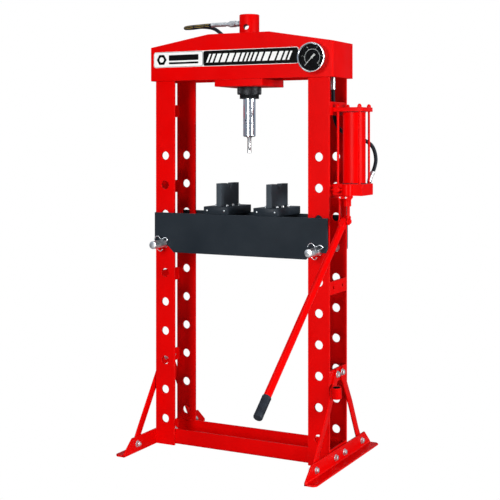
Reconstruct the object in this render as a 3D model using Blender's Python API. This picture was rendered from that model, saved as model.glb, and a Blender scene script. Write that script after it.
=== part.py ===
"""Hydraulic shop press with a hand pump, modelled in metres.

+Z is up, +X is the operator's right and +Y is away from the operator. Heights are given from the
floor and the other places from the axis of the ram, half way between the front and the rear bars
of the posts. The origin of the finished model is on that axis, on the underside of the base.
"""

import math

import bmesh
import bpy
from mathutils import Matrix, Vector

GAP = 0.0003                      # between neighbouring solids

# Posts: two flat bars each, one in front and one behind, tied together at their outer edges
POST_X = 0.301
BAR_WIDTH = 0.078
BAR_THICKNESS = 0.008
BAR_FACE_Y = 0.078                # outside face of a bar, from the mid-plane
BAR_FOOT_Z = 0.002
BAR_TOP_Z = 1.420
POST_EDGE = POST_X + BAR_WIDTH / 2
BAR_INNER_Y = BAR_FACE_Y - BAR_THICKNESS
HOLE_PITCH = 0.105
HOLE_ROWS = 10
TOP_HOLE_Z = 1.040
HOLE_RADIUS = 0.015
TIE_HEIGHT = 0.045
TIE_Z = (1.203, 0.925, 0.600, 0.302)
TIE_BOLT_Y = (0.039, 0.039, 0.039, 0.021)
TIE_HOLE_RADIUS = 0.0055

# Base channel between the posts
BASE_LOW_Z = 0.0055
BASE_HIGH_Z = 0.0605
BASE_WALL = 0.005
ORIGIN = Vector((0, 0, BASE_LOW_Z))

# Feet: angles that run front to back outside the posts
FOOT_THICKNESS = 0.006
FOOT_HEIGHT = 0.054
FOOT_HALF_LOW = 0.281
FOOT_HALF_HIGH = 0.229
FOOT_OUTER_X = 0.381
FOOT_BOLT_Y = (0.038, 0.199)
FOOT_BOLT_Z = 0.029
ANCHOR_Y = 0.243
ANCHOR_RADIUS = 0.0055
TOE_HEIGHT = 0.010                # of the flange at its ends
SOLE_START = 0.0012               # from the flange's inner face, so that the two share material
SOLE_CORNER = 0.010

# Diagonal braces from the lowest ties to the ends of the feet
BRACE_TOP = (0.021, 0.306)        # y and z of the upper bolt
BRACE_LOW = (0.199, 0.029)        # y and z of the lower bolt
BRACE_WIDTH = 0.030
BRACE_THICKNESS = 0.005
BRACE_END = 0.012                 # from a bolt to the end of the brace

# Each brace is bent so that its lower end lies outside the left foot or inside the right one.
# The bends are given as shares of its length between bolts, with the step outward between them
BRACE_BENDS = {"left": (0.06, 0.85), "right": (0.44, 0.85)}
BRACE_STEP = {"left": FOOT_THICKNESS + GAP, "right": -BRACE_THICKNESS - GAP - 0.0002}
FOOT_INNER_X = POST_EDGE + GAP
BRACE_INNER_X = POST_EDGE + GAP

# Holder for the pump handle, on the front right brace
HOLDER_Y = -0.074
HOLDER_Z = 0.2565
HOLDER_RADII = (0.0165, 0.0125)
HOLDER_LENGTH = 0.038
HOLDER_STAND_OFF = 0.003
HOLDER_TILT = math.radians(8)

# Head: a front plate with folded ends and a flat rear plate
HEAD_HALF = 0.3575
HEAD_FACE_Y = 0.0866
HEAD_THICKNESS = 0.0083
HEAD_LOW_Z = 1.3077
HEAD_SIDE_Z = 1.4284
HEAD_TOP_Z = 1.4681
CHAMFER_LENGTH = 0.238
FOLD_RADIUS = 0.005
FOLD_INNER = 0.0008

# Ram
PLATE_HALF_X = 0.093
PLATE_HALF_Y = 0.087
PLATE_LOW_Z = 1.2833
CYLINDER_RADIUS = 0.0345
CYLINDER_LOW_Z = 1.2418
CYLINDER_BORE = 0.0285
GLAND_BORE = 0.0223
GLAND_TOP_Z = 1.262
CAP_RADIUS = 0.0353
CAP_LOW_Z = 1.4684
CAP_HIGH_Z = 1.5387
CROSS_HOLE_Z = 1.4936
CROSS_HOLE_RADIUS = 0.0100
CROSS_HOLE_TURN = math.radians(22)
CROSS_HOLE_OFFSET = (-0.0078, -0.0040)
PORT_Z = 1.509
PORT_RADIUS = 0.0063
PORT_DEPTH_X = 0.0235             # the nipple's end, from the ram's axis
COUPLER_END = 0.153
DRILLING_RADIUS = 0.002
DRILLING_X = -0.0250
SPIGOT_LENGTH = 0.014             # of the cap, inside the cylinder
LOCK_RING_RADIUS = 0.043
LOCK_RING_LOW_Z = 1.2566
ROD_RADIUS = 0.022
ROD_LOW_Z = 1.1545
PISTON_Z = (1.428, 1.450)
NOSE_LOW_Z = 1.1076
TIP_LOW_Z = 1.050
TIP_RADIUS = 0.007

# Pressure gauge
GAUGE_X = 0.292
GAUGE_Z = 1.372
GAUGE_RADIUS = 0.050
GAUGE_FRONT_Y = -0.124
GAUGE_CAVITY = 0.0445
STEM_RADIUS = 0.0085
POINTER_REST = math.radians(225)  # clockwise from straight up, seen from the front
DIAL_Y = (0.1080, 0.1100)         # rear and front of the dial, ahead of the mid-plane
LENS_Y = (0.1185, 0.1210)
POINTER_Y = 0.1122                # rear of the pointer
POINTER_THICKNESS = 0.0012
SPINDLE_RADIUS = 0.0018
SPINDLE_Y = (0.1000, 0.1145)
CASE_BACK = 0.004

# Bed: two plates that rest on the pins, and the spacers between them
BED_HALF = 0.338
BED_TOP_Z = 0.836
BED_LOW_Z = 0.695
BED_END_LOW_Z = 0.720
BED_CUT_X = 0.259
BED_FACE_Y = 0.090
BED_THICKNESS = 0.008
PIN_ROW = 3
PIN_Z = TOP_HOLE_Z - PIN_ROW * HOLE_PITCH
PIN_RADIUS = 0.014
PIN_FRONT_Y = -0.163
PIN_REAR_Y = 0.100
SPACER_X = 0.236
SPACER_THICKNESS = 0.010
CLIP_Y = -0.107
CLIP_WIRE = 0.0016
CLIP_HOLE = 0.0021

# V-blocks on the bed
BLOCK_X = (-0.087, 0.109)
BLOCK_SIZE = (0.095, 0.181, 0.0264)
UPRIGHT_SIZE = (0.020, 0.134)
UPRIGHT_TOP_Z = 0.9435
NOTCH_HALF = 0.020
NOTCH_DEPTH = 0.020

# Hand pump on the right post
PUMP_X = 0.398
PUMP_LEFT_X = POST_EDGE + GAP
PUMP_RIGHT_X = 0.446
PUMP_HALF_Y = 0.050
PUMP_BLOCK_Z = (0.911, 0.950)
PUMP_PLATE_Z = (1.192, 1.2065)
RESERVOIR_RADII = (0.0385, 0.0355)
TIE_ROD_X = (0.357, 0.434)
TIE_ROD_Y = 0.043
TIE_ROD_RADIUS = 0.004
LEVER_X = 0.395
PIVOT_Y = -0.080
PIVOT_Z = 0.828
PLUNGER_Y = -0.052
PLUNGER_RADIUS = 0.008
PLUNGER_BORE = 0.0083
PUSH_ROD_RADIUS = 0.004
BARREL_LOW_Z = 0.876
ARM_END = (PLUNGER_Y, 0.838)      # y and z of the lever's short end
ARM_END_RADIUS = 0.007
ARM_CLEARANCE = 0.0008            # between the short end and the push rod
LEVER_HALF = 0.010
NECK_REACH = 0.022
PIVOT_PIN_RADIUS = 0.005
BRACKET_INNER = 0.0125
BRACKET_THICKNESS = 0.005
BRACKET_FRONT_Y = -0.0920
BRACKET_REAR_Y = -0.0460
BRIDGE_REAR_Y = -0.0655
HANDLE_SLOPE = math.radians(38.8)
HANDLE_START = 0.035              # along the lever from its pivot
HANDLE_LENGTH = 0.775
HANDLE_RADII = (0.0118, 0.0088)
STUB_RADIUS = 0.0085
STUB_LENGTH = 0.100
GRIP_RADIUS = 0.0140
GRIP_LENGTH = 0.076
VALVE_X = 0.3640
VALVE_Z = 0.9310

# Hoses
HOSE_RADIUS = 0.0065
MANIFOLD_X = (0.283, 0.331)
MANIFOLD_Y = (-0.0697, 0.020)
MANIFOLD_Z = (1.345, 1.390)

# Number of sides of round shapes
FINE = 32
ROUND = 24
SMALL = 16

# Turns a plate that lies in XY to stand in XZ, with its thickness towards -Y
FACE_FRONT = Matrix(((1, 0, 0, 0), (0, 0, -1, 0), (0, 1, 0, 0), (0, 0, 0, 1)))
# Turns a plate that lies in XY to stand in YZ, with its thickness towards +X
FACE_SIDE = Matrix(((0, 0, 1, 0), (1, 0, 0, 0), (0, 1, 0, 0), (0, 0, 0, 1)))
# Turns a shape made along +Z to lie along +Y
ALONG_Y = Matrix.Rotation(math.radians(-90), 4, "X")
# Turns a shape made along +Z to lie along -Y
TOWARDS_FRONT = Matrix.Rotation(math.radians(90), 4, "X")
# Turns a shape made along +Z to lie along -X
ALONG_MINUS_X = Matrix.Rotation(math.radians(-90), 4, "Y")
# Turns a shape made along +Z to lie along +X
ALONG_X = Matrix.Rotation(math.radians(90), 4, "Y")


def clear_scene():
    for obj in list(bpy.data.objects):
        bpy.data.objects.remove(obj)


def make_material(name, colour, roughness, metallic):
    material = bpy.data.materials.new(name)
    material.use_nodes = True
    shader = material.node_tree.nodes["Principled BSDF"]
    shader.inputs["Base Color"].default_value = (*colour, 1.0)
    shader.inputs["Roughness"].default_value = roughness
    shader.inputs["Metallic"].default_value = metallic
    return material


FINISHES = {
    "red_paint": ((0.62, 0.004, 0.006), 0.30, 0.0),
    "dark_paint": ((0.020, 0.025, 0.030), 0.45, 0.0),
    "chrome": ((0.78, 0.79, 0.80), 0.12, 1.0),
    "zinc": ((0.58, 0.60, 0.60), 0.35, 1.0),
    "black_steel": ((0.02, 0.02, 0.022), 0.40, 0.6),
    "rubber": ((0.015, 0.015, 0.017), 0.60, 0.0),
    "dial_black": ((0.01, 0.01, 0.01), 0.50, 0.0),
    "pointer_white": ((0.85, 0.85, 0.85), 0.50, 0.0),
    "lens": ((0.9, 0.93, 0.93), 0.05, 0.0),
}


def place(obj, location, parent):
    """Puts an object at a point given from the floor; its parents, if any, are unrotated empties."""
    obj.location = Vector(location) - ORIGIN
    obj.parent = parent
    while parent:
        obj.location -= parent.location
        parent = parent.parent


def turn_outward(bm):
    """Makes every face of a closed shape point out."""
    bmesh.ops.recalc_face_normals(bm, faces=bm.faces[:])
    if bm.calc_volume(signed=True) < 0:
        bmesh.ops.reverse_faces(bm, faces=bm.faces[:])


def add(name, bm, finish, location=(0, 0, 0), parent=None, rounded=False):
    """Makes the named object from a shape given about its location."""
    mesh = bpy.data.meshes.new(name)
    turn_outward(bm)
    bm.to_mesh(mesh)
    bm.free()
    if rounded:
        mesh.shade_smooth()
        mesh.set_sharp_from_angle(angle=math.radians(35))
    mesh.materials.append(make_material(name, *FINISHES[finish]))
    obj = bpy.data.objects.new(name, mesh)
    bpy.context.collection.objects.link(obj)
    place(obj, location, parent)
    return obj


def pivot(name, location, parent=None):
    """An empty on a joint's axis."""
    empty = bpy.data.objects.new(name, None)
    empty.empty_display_size = 0.03
    bpy.context.collection.objects.link(empty)
    place(empty, location, parent)
    return empty


def join_shape(target, bm, operation):
    """Adds or cuts a helper shape, given in the target's own coordinates."""
    mesh = bpy.data.meshes.new(target.name + "_helper")
    turn_outward(bm)
    bm.to_mesh(mesh)
    bm.free()
    helper = bpy.data.objects.new(mesh.name, mesh)
    bpy.context.collection.objects.link(helper)
    helper.parent = target
    helper.hide_render = True
    helper.display_type = "WIRE"
    modifier = target.modifiers.new(operation.title(), "BOOLEAN")
    modifier.operation = operation
    modifier.object = helper
    modifier.solver = "EXACT"
    return modifier


def circle(x, y, radius, sides):
    """Points of a circle, anticlockwise."""
    turns = (2 * math.pi * i / sides for i in range(sides))
    return [(x + radius * math.cos(a), y + radius * math.sin(a)) for a in turns]


def arc(x, y, radius, start, end, steps):
    """Points of an arc between two angles in degrees."""
    angles = (math.radians(start + (end - start) * i / steps) for i in range(steps + 1))
    return [(x + radius * math.cos(a), y + radius * math.sin(a)) for a in angles]


def plate(outline, thickness, holes=(), sides=SMALL):
    """A flat plate on XY from z = 0 up, with round holes given as x, y and radius."""
    bm = bmesh.new()
    edges = []
    for loop in [outline] + [circle(x, y, radius, sides) for x, y, radius in holes]:
        verts = [bm.verts.new((x, y, 0)) for x, y in loop]
        edges += [bm.edges.new(pair) for pair in zip(verts, verts[1:] + verts[:1])]
    bmesh.ops.triangle_fill(bm, edges=edges, use_beauty=True)
    extruded = bmesh.ops.extrude_face_region(bm, geom=bm.faces[:])
    moved = [v for v in extruded["geom"] if isinstance(v, bmesh.types.BMVert)]
    bmesh.ops.translate(bm, verts=moved, vec=(0, 0, thickness))
    return bm


def rectangle(low_x, high_x, low_y, high_y):
    return [(low_x, low_y), (high_x, low_y), (high_x, high_y), (low_x, high_y)]


def moved(bm, matrix):
    bm.transform(matrix)
    return bm


def box(low, high):
    """A box between two corners."""
    bm = bmesh.new()
    bmesh.ops.create_cube(bm, size=1)
    size = Vector(high) - Vector(low)
    middle = (Vector(high) + Vector(low)) / 2
    bmesh.ops.scale(bm, vec=size, verts=bm.verts)
    bmesh.ops.translate(bm, vec=middle, verts=bm.verts)
    return bm


def bevelled(bm, width, segments=1):
    """Rounds every edge of a shape that has only sharp edges."""
    bmesh.ops.bevel(
        bm, geom=bm.edges[:], offset=width, segments=segments, affect="EDGES", profile=0.5
    )
    return bm


def turned(profile, sides=ROUND):
    """A turned shape about Z from a profile of radius and height that runs bottom to top.

    A profile that starts and ends on the axis is a solid; one that closes on itself is a tube.
    """
    bm = bmesh.new()
    rings = []
    for radius, height in profile:
        if radius == 0:
            rings.append([bm.verts.new((0, 0, height))])
        else:
            rings.append([bm.verts.new((x, y, height)) for x, y in circle(0, 0, radius, sides)])
    pairs = list(zip(rings, rings[1:]))
    if profile[0][0] > 0:
        pairs.append((rings[-1], rings[0]))
    for lower, upper in pairs:
        for i in range(sides):
            corners = [lower[i % len(lower)], lower[(i + 1) % len(lower)],
                       upper[(i + 1) % len(upper)], upper[i % len(upper)]]
            bm.faces.new(dict.fromkeys(corners))
    return bm


def tube(inner, outer, low, high, sides=ROUND):
    return turned([(inner, low), (outer, low), (outer, high), (inner, high)], sides)


def rod(radius, low, high, sides=ROUND, chamfer=0.0):
    """A plain round bar, with chamfered ends where a chamfer is given."""
    if chamfer:
        profile = [(0, low), (radius - chamfer, low), (radius, low + chamfer),
                   (radius, high - chamfer), (radius - chamfer, high), (0, high)]
    else:
        profile = [(0, low), (radius, low), (radius, high), (0, high)]
    return turned(profile, sides)


def smooth_path(points, steps):
    """A Catmull-Rom curve through the points."""
    knots = [Vector(p) for p in points]
    knots = [2 * knots[0] - knots[1]] + knots + [2 * knots[-1] - knots[-2]]
    path = []
    for a, b, c, d in zip(knots, knots[1:], knots[2:], knots[3:]):
        for i in range(steps):
            t = i / steps
            path.append(0.5 * (2 * b + (c - a) * t + (2 * a - 5 * b + 4 * c - d) * t ** 2
                               + (3 * b - a - 3 * c + d) * t ** 3))
    path.append(knots[-2])
    return path


def swept(path, radius, sides):
    """A round bar along a path."""
    headings = [after - before for before, after in zip(path, path[2:])]
    headings.insert(0, 4 * path[1] - 3 * path[0] - path[2])
    headings.append(3 * path[-1] - 4 * path[-2] + path[-3])
    bm = bmesh.new()
    rings = []
    last = headings[0]
    across = last.orthogonal().normalized()
    for centre, heading in zip(path, headings):
        across = (last.rotation_difference(heading) @ across).normalized()
        up = heading.normalized().cross(across)
        last = heading
        rings.append([bm.verts.new(centre + x * across + y * up)
                      for x, y in circle(0, 0, radius, sides)])
    for lower, upper in zip(rings, rings[1:]):
        for i in range(sides):
            j = (i + 1) % sides
            bm.faces.new((lower[i], lower[j], upper[j], upper[i]))
    bm.faces.new(rings[0])
    bm.faces.new(rings[-1])
    return bm


# ---- Frame ----

def make_posts():
    half = BAR_WIDTH / 2
    rows = [TOP_HOLE_Z - i * HOLE_PITCH for i in range(HOLE_ROWS)]
    holes = [(0, z, HOLE_RADIUS) for z in rows]
    outline = rectangle(-half, half, BAR_FOOT_Z, BAR_TOP_Z)
    for side, x in (("left", -POST_X), ("right", POST_X)):
        for place, y in (("front", -BAR_INNER_Y), ("rear", BAR_FACE_Y)):
            name = f"upright_{place}_{side}"
            through = list(holes)
            if name == "upright_front_right":
                through.append((GAUGE_X - POST_X, GAUGE_Z, STEM_RADIUS + 0.001))
            bar = plate(outline, BAR_THICKNESS, through)
            add(name, moved(bar, FACE_FRONT), "red_paint", (x, y, 0))


def make_ties():
    half_y = BAR_INNER_Y - GAP
    for side, x in (("left", -POST_EDGE), ("right", POST_EDGE - BAR_THICKNESS)):
        for i, (z, bolt_y) in enumerate(zip(TIE_Z, TIE_BOLT_Y)):
            outline = rectangle(-half_y, half_y, -TIE_HEIGHT / 2, TIE_HEIGHT / 2)
            holes = [(-bolt_y, 0, TIE_HOLE_RADIUS), (bolt_y, 0, TIE_HOLE_RADIUS)]
            bar = plate(outline, BAR_THICKNESS, holes, 12)
            add(f"tie_{side}_{i + 1}", moved(bar, FACE_SIDE), "red_paint", (x, 0, z))


def make_base_channel():
    """A channel that opens upward, with closed ends."""
    half_y = BAR_INNER_Y - GAP
    channel = box((-POST_EDGE, -half_y, BASE_LOW_Z), (POST_EDGE, half_y, BASE_HIGH_Z))
    channel = add("base_channel", channel, "red_paint")
    wall = BASE_WALL
    hollow = box((-POST_EDGE + wall, -half_y + wall, BASE_LOW_Z + wall),
                 (POST_EDGE - wall, half_y - wall, BASE_HIGH_Z + wall))
    join_shape(channel, hollow, "DIFFERENCE")


def make_feet():
    for side, sign in (("left", -1), ("right", 1)):
        inner_x = FOOT_INNER_X
        outline = [(-FOOT_HALF_LOW, 0), (FOOT_HALF_LOW, 0), (FOOT_HALF_LOW, TOE_HEIGHT),
                   (FOOT_HALF_HIGH, FOOT_HEIGHT), (-FOOT_HALF_HIGH, FOOT_HEIGHT),
                   (-FOOT_HALF_LOW, TOE_HEIGHT)]
        bolts = [(s * y, FOOT_BOLT_Z, TIE_HOLE_RADIUS) for y in FOOT_BOLT_Y for s in (-1, 1)]
        flange = moved(plate(outline, sign * FOOT_THICKNESS, bolts, 12), FACE_SIDE)
        foot = add(f"foot_{side}", flange, "red_paint", (sign * inner_x, 0, 0))
        width = FOOT_OUTER_X - inner_x
        corner = SOLE_CORNER
        sole = [(SOLE_START, -FOOT_HALF_LOW), (width - corner, -FOOT_HALF_LOW),
                (width, -FOOT_HALF_LOW + corner), (width, FOOT_HALF_LOW - corner),
                (width - corner, FOOT_HALF_LOW), (SOLE_START, FOOT_HALF_LOW)]
        sole = [(sign * x, y) for x, y in sole]
        middle = sign * (width + FOOT_THICKNESS) / 2
        anchors = [(middle, s * ANCHOR_Y, ANCHOR_RADIUS) for s in (-1, 1)]
        join_shape(foot, plate(sole, FOOT_THICKNESS, anchors, 12), "UNION")


def bent_bar(stations, width, thickness):
    """A flat bar along +X with its thickness along +Z; a station is (x, z of the lower face)."""
    half = width / 2
    bm = bmesh.new()
    rings = []
    for x, z in stations:
        rings.append([bm.verts.new(point) for point in (
            (x, -half, z), (x, half, z), (x, half, z + thickness), (x, -half, z + thickness))])
    for near, far in zip(rings, rings[1:]):
        for i in range(4):
            j = (i + 1) % 4
            bm.faces.new((near[i], near[j], far[j], far[i]))
    bm.faces.new(rings[0])
    bm.faces.new(rings[-1])
    return bm


def make_braces():
    run_y = BRACE_LOW[0] - BRACE_TOP[0]
    run_z = BRACE_LOW[1] - BRACE_TOP[1]
    length = math.hypot(run_y, run_z)
    slope = Matrix.Rotation(math.atan2(run_z, run_y), 4, "X")
    for side, sign in (("left", -1), ("right", 1)):
        first, second = BRACE_BENDS[side]
        step = BRACE_STEP[side]
        stations = [(-BRACE_END, 0), (first * length, 0), (second * length, step),
                    (length + BRACE_END, step)]
        for place, ahead in (("front", -1), ("rear", 1)):
            bar = moved(bent_bar(stations, BRACE_WIDTH, BRACE_THICKNESS), FACE_SIDE)
            bolts = [moved(rod(TIE_HOLE_RADIUS, -0.03, 0.03, 12), Matrix.Translation((x, 0, 0)))
                     for x in (0, length)]
            shapes = [bar] + [moved(bolt, FACE_SIDE) for bolt in bolts]
            for bm in shapes:
                moved(bm, slope)
                if sign < 0:
                    moved(bm, Matrix.Scale(-1, 4, (1, 0, 0)))
                if ahead < 0:
                    moved(bm, Matrix.Scale(-1, 4, (0, 1, 0)))
            location = Vector((sign * BRACE_INNER_X, ahead * BRACE_TOP[0], BRACE_TOP[1]))
            brace = add(f"brace_{place}_{side}", bar, "red_paint", location)
            for bolt in shapes[1:]:
                join_shape(brace, bolt, "DIFFERENCE")


def make_handle_holder():
    """A short tube on the front right brace, which holds the pump handle when it is not in use."""
    outer, inner = HOLDER_RADII
    half = HOLDER_LENGTH / 2
    face_x = BRACE_INNER_X + BRACE_THICKNESS + GAP
    ring = moved(tube(inner, outer, -half, half), Matrix.Rotation(HOLDER_TILT, 4, "X"))
    location = (face_x + HOLDER_STAND_OFF + outer, HOLDER_Y, HOLDER_Z)
    holder = add("handle_holder", ring, "red_paint", location, rounded=True)
    pad = box((-outer - HOLDER_STAND_OFF, -0.007, -0.016), (-inner - 0.001, 0.007, -0.002))
    join_shape(holder, pad, "UNION")


# ---- Head and ram ----

def head_top(x):
    """Height of the head's upper edge at a distance from the middle."""
    rise = (HEAD_HALF - abs(x)) * (HEAD_TOP_Z - HEAD_SIDE_Z) / CHAMFER_LENGTH
    return min(HEAD_TOP_Z, HEAD_SIDE_Z + rise)


def make_head_front_plate():
    """The front plate with both ends folded back, as one strip that follows the fold."""
    deep = HEAD_THICKNESS + FOLD_INNER
    back_y = HEAD_FACE_Y - HEAD_THICKNESS - GAP
    shoulder = HEAD_HALF - CHAMFER_LENGTH
    outer = [(shoulder, -HEAD_FACE_Y)] + arc(
        HEAD_HALF - FOLD_RADIUS, -HEAD_FACE_Y + FOLD_RADIUS, FOLD_RADIUS, -90, 0, 5)
    outer.append((HEAD_HALF, back_y))
    inner_edge = -HEAD_FACE_Y + HEAD_THICKNESS
    inner = [(shoulder, inner_edge)] + arc(
        HEAD_HALF - deep, -HEAD_FACE_Y + deep, FOLD_INNER, -90, 0, 5)
    inner.append((HEAD_HALF - HEAD_THICKNESS, back_y))
    outer = [(-x, y) for x, y in reversed(outer)] + outer
    inner = [(-x, y) for x, y in reversed(inner)] + inner
    bm = bmesh.new()
    rings = []
    for (ox, oy), (ix, iy) in zip(outer, inner):
        rings.append([bm.verts.new(point) for point in (
            (ox, oy, HEAD_LOW_Z), (ox, oy, head_top(ox)),
            (ix, iy, head_top(ix)), (ix, iy, HEAD_LOW_Z))])
    for near, far in zip(rings, rings[1:]):
        for i in range(4):
            j = (i + 1) % 4
            bm.faces.new((near[i], near[j], far[j], far[i]))
    bm.faces.new(rings[0])
    bm.faces.new(rings[-1])
    bmesh.ops.triangulate(bm, faces=bm.faces[:])
    head = add("head_front_plate", bm, "red_paint")
    hole = moved(rod(STEM_RADIUS + 0.001, -0.02, 0.02, SMALL), ALONG_Y)
    hole = moved(hole, Matrix.Translation((GAUGE_X, -HEAD_FACE_Y, GAUGE_Z)))
    join_shape(head, hole, "DIFFERENCE")


def make_head_rear_plate():
    shoulder = HEAD_HALF - CHAMFER_LENGTH
    outline = [(-HEAD_HALF, HEAD_LOW_Z), (HEAD_HALF, HEAD_LOW_Z), (HEAD_HALF, HEAD_SIDE_Z),
               (shoulder, HEAD_TOP_Z), (-shoulder, HEAD_TOP_Z), (-HEAD_HALF, HEAD_SIDE_Z)]
    rear = plate(outline, HEAD_THICKNESS)
    add("head_rear_plate", moved(rear, FACE_FRONT), "red_paint", (0, HEAD_FACE_Y, 0))


def make_ram_mount():
    outline = rectangle(-PLATE_HALF_X, PLATE_HALF_X, -PLATE_HALF_Y, PLATE_HALF_Y)
    thickness = HEAD_LOW_Z - GAP - PLATE_LOW_Z
    mount = plate(outline, thickness, [(0, 0, CYLINDER_RADIUS + GAP)], FINE)
    add("ram_mount_plate", mount, "red_paint", (0, 0, PLATE_LOW_Z))


def make_ram_cylinder():
    low, high = CYLINDER_LOW_Z, CAP_LOW_Z - GAP
    edge = 0.002
    profile = [(GLAND_BORE, low), (CYLINDER_RADIUS - edge, low), (CYLINDER_RADIUS, low + edge),
               (CYLINDER_RADIUS, high), (CYLINDER_BORE, high), (CYLINDER_BORE, GLAND_TOP_Z),
               (GLAND_BORE, GLAND_TOP_Z)]
    add("ram_cylinder", turned(profile, FINE), "black_steel", rounded=True)


def make_ram_end_cap():
    """The cap that closes the cylinder, with a cross hole for a turning bar and an oil port."""
    spigot = CYLINDER_BORE - GAP
    low, high, edge = CAP_LOW_Z, CAP_HIGH_Z, 0.002
    bottom = low - SPIGOT_LENGTH
    profile = [(0, bottom), (spigot, bottom), (spigot, low), (CAP_RADIUS, low),
               (CAP_RADIUS, high - edge), (CAP_RADIUS - edge, high), (0, high)]
    cap = add("ram_end_cap", turned(profile, FINE), "red_paint", rounded=True)
    cross = moved(rod(CROSS_HOLE_RADIUS, -0.05, 0.05, 24), ALONG_Y)
    cross = moved(cross, Matrix.Rotation(CROSS_HOLE_TURN, 4, "Z"))
    cross = moved(cross, Matrix.Translation((*CROSS_HOLE_OFFSET, CROSS_HOLE_Z)))
    join_shape(cap, cross, "DIFFERENCE")
    port = moved(rod(PORT_RADIUS, PORT_DEPTH_X - 0.0015, 0.05, SMALL), ALONG_MINUS_X)
    join_shape(cap, moved(port, Matrix.Translation((0, 0, PORT_Z))), "DIFFERENCE")
    drilling = rod(DRILLING_RADIUS, bottom - 0.006, PORT_Z, 8)
    drilling = moved(drilling, Matrix.Translation((DRILLING_X, 0, 0)))
    join_shape(cap, drilling, "DIFFERENCE")


def make_lock_ring():
    low, high = LOCK_RING_LOW_Z, PLATE_LOW_Z - GAP
    inner, outer, edge = CYLINDER_RADIUS + GAP, LOCK_RING_RADIUS, 0.002
    profile = [(inner, low), (outer - edge, low), (outer, low + edge),
               (outer, high - edge), (outer - edge, high), (inner, high)]
    add("ram_lock_ring", turned(profile, FINE), "black_steel", rounded=True)


def make_ram(parent):
    """The piston with its rod, and the nosepiece held on it by a set screw."""
    low, high = PISTON_Z
    piston_radius = CYLINDER_BORE - GAP
    profile = [(0, ROD_LOW_Z), (ROD_RADIUS, ROD_LOW_Z), (ROD_RADIUS, low),
               (piston_radius, low), (piston_radius, high), (0, high)]
    add("piston_rod", moved(turned(profile, FINE), Matrix.Translation((0, 0, -ROD_LOW_Z))),
        "chrome", (0, 0, ROD_LOW_Z), parent, rounded=True)
    edge = 0.003
    high = ROD_LOW_Z - GAP
    profile = [(0, TIP_LOW_Z), (TIP_RADIUS - 0.001, TIP_LOW_Z), (TIP_RADIUS, TIP_LOW_Z + 0.001),
               (TIP_RADIUS, NOSE_LOW_Z), (ROD_RADIUS - edge, NOSE_LOW_Z),
               (ROD_RADIUS, NOSE_LOW_Z + edge), (ROD_RADIUS, high), (0, high)]
    add("ram_nose", moved(turned(profile, FINE), Matrix.Translation((0, 0, -ROD_LOW_Z))),
        "chrome", (0, 0, ROD_LOW_Z), parent, rounded=True)


def make_ram_coupler():
    """The quick coupler that screws into the end cap, along -X."""
    nipple, sleeve, waist, ferrule = 0.0060, 0.0115, 0.0070, 0.0080
    profile = [(0, PORT_DEPTH_X), (nipple, PORT_DEPTH_X), (nipple, 0.0530), (sleeve, 0.0530),
               (sleeve, 0.0770), (waist, 0.0785), (waist, 0.1020), (ferrule, 0.1035),
               (ferrule, COUPLER_END), (0, COUPLER_END)]
    add("ram_coupler", moved(turned(profile, SMALL), ALONG_MINUS_X), "chrome", (0, 0, PORT_Z),
        rounded=True)


def make_ram_hose():
    """From the coupler out to the left, round and down into the head, and along to the manifold."""
    path = smooth_path([
        (-COUPLER_END - GAP, 0.000, PORT_Z), (-0.163, 0.000, PORT_Z), (-0.173, 0.000, PORT_Z),
        (-0.195, 0.000, 1.508), (-0.228, 0.001, 1.507), (-0.258, 0.008, 1.506),
        (-0.279, 0.030, 1.506), (-0.266, 0.054, 1.508), (-0.225, 0.064, 1.511),
        (-0.180, 0.066, 1.503), (-0.143, 0.064, 1.478), (-0.110, 0.060, 1.447),
        (-0.065, 0.056, 1.415), (0.040, 0.054, 1.385), (0.150, 0.040, 1.375),
        (0.250, 0.000, 1.368), (0.268, 0.000, 1.368), (MANIFOLD_X[0] - GAP, 0.000, 1.368)], 3)
    add("ram_hose", swept(path, HOSE_RADIUS, 8), "rubber", rounded=True)


# ---- Gauge ----

def make_gauge():
    """Case, dial and lens share the axis through the gauge's middle, along Y."""
    centre = (GAUGE_X, 0, GAUGE_Z)
    back = -HEAD_FACE_Y - GAP
    front = GAUGE_FRONT_Y
    edge = 0.002
    stem_end = MANIFOLD_Y[0] - GAP
    profile = [(0, -stem_end), (STEM_RADIUS, -stem_end), (STEM_RADIUS, -back),
               (GAUGE_RADIUS - edge, -back), (GAUGE_RADIUS, -back + edge),
               (GAUGE_RADIUS, -front - edge), (GAUGE_RADIUS - edge, -front),
               (GAUGE_CAVITY, -front), (GAUGE_CAVITY, -back + CASE_BACK), (0, -back + CASE_BACK)]
    case = moved(turned(profile, FINE), TOWARDS_FRONT)
    add("gauge_case", case, "chrome", centre, rounded=True)
    disc = GAUGE_CAVITY - GAP
    dial = moved(tube(SPINDLE_RADIUS + 0.0005, disc, *DIAL_Y, FINE), TOWARDS_FRONT)
    add("gauge_dial", dial, "dial_black", centre, rounded=True)
    lens = moved(rod(disc, *LENS_Y, FINE), TOWARDS_FRONT)
    add("gauge_lens", lens, "lens", centre, rounded=True)


def make_gauge_pointer(parent):
    """A tapered needle with a hub and a counterweight tail, at its rest angle."""
    tip, tail, hub = 0.0395, 0.0150, 0.0040
    outline = [(0.0005, tip), (-0.0005, tip)]
    outline += arc(0, 0, hub, 110, 250, 5)
    outline += [(-0.0036, -tail), (0.0036, -tail)]
    outline += arc(0, 0, hub, -70, 70, 5)
    needle = moved(plate(outline, POINTER_THICKNESS), FACE_FRONT)
    needle = moved(needle, Matrix.Translation((0, -POINTER_Y, 0)))
    needle = moved(needle, Matrix.Rotation(POINTER_REST, 4, "Y"))
    pointer = add("gauge_pointer", needle, "pointer_white", (GAUGE_X, 0, GAUGE_Z), parent)
    spindle = moved(rod(SPINDLE_RADIUS, *SPINDLE_Y, 10), TOWARDS_FRONT)
    join_shape(pointer, spindle, "UNION")


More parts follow.
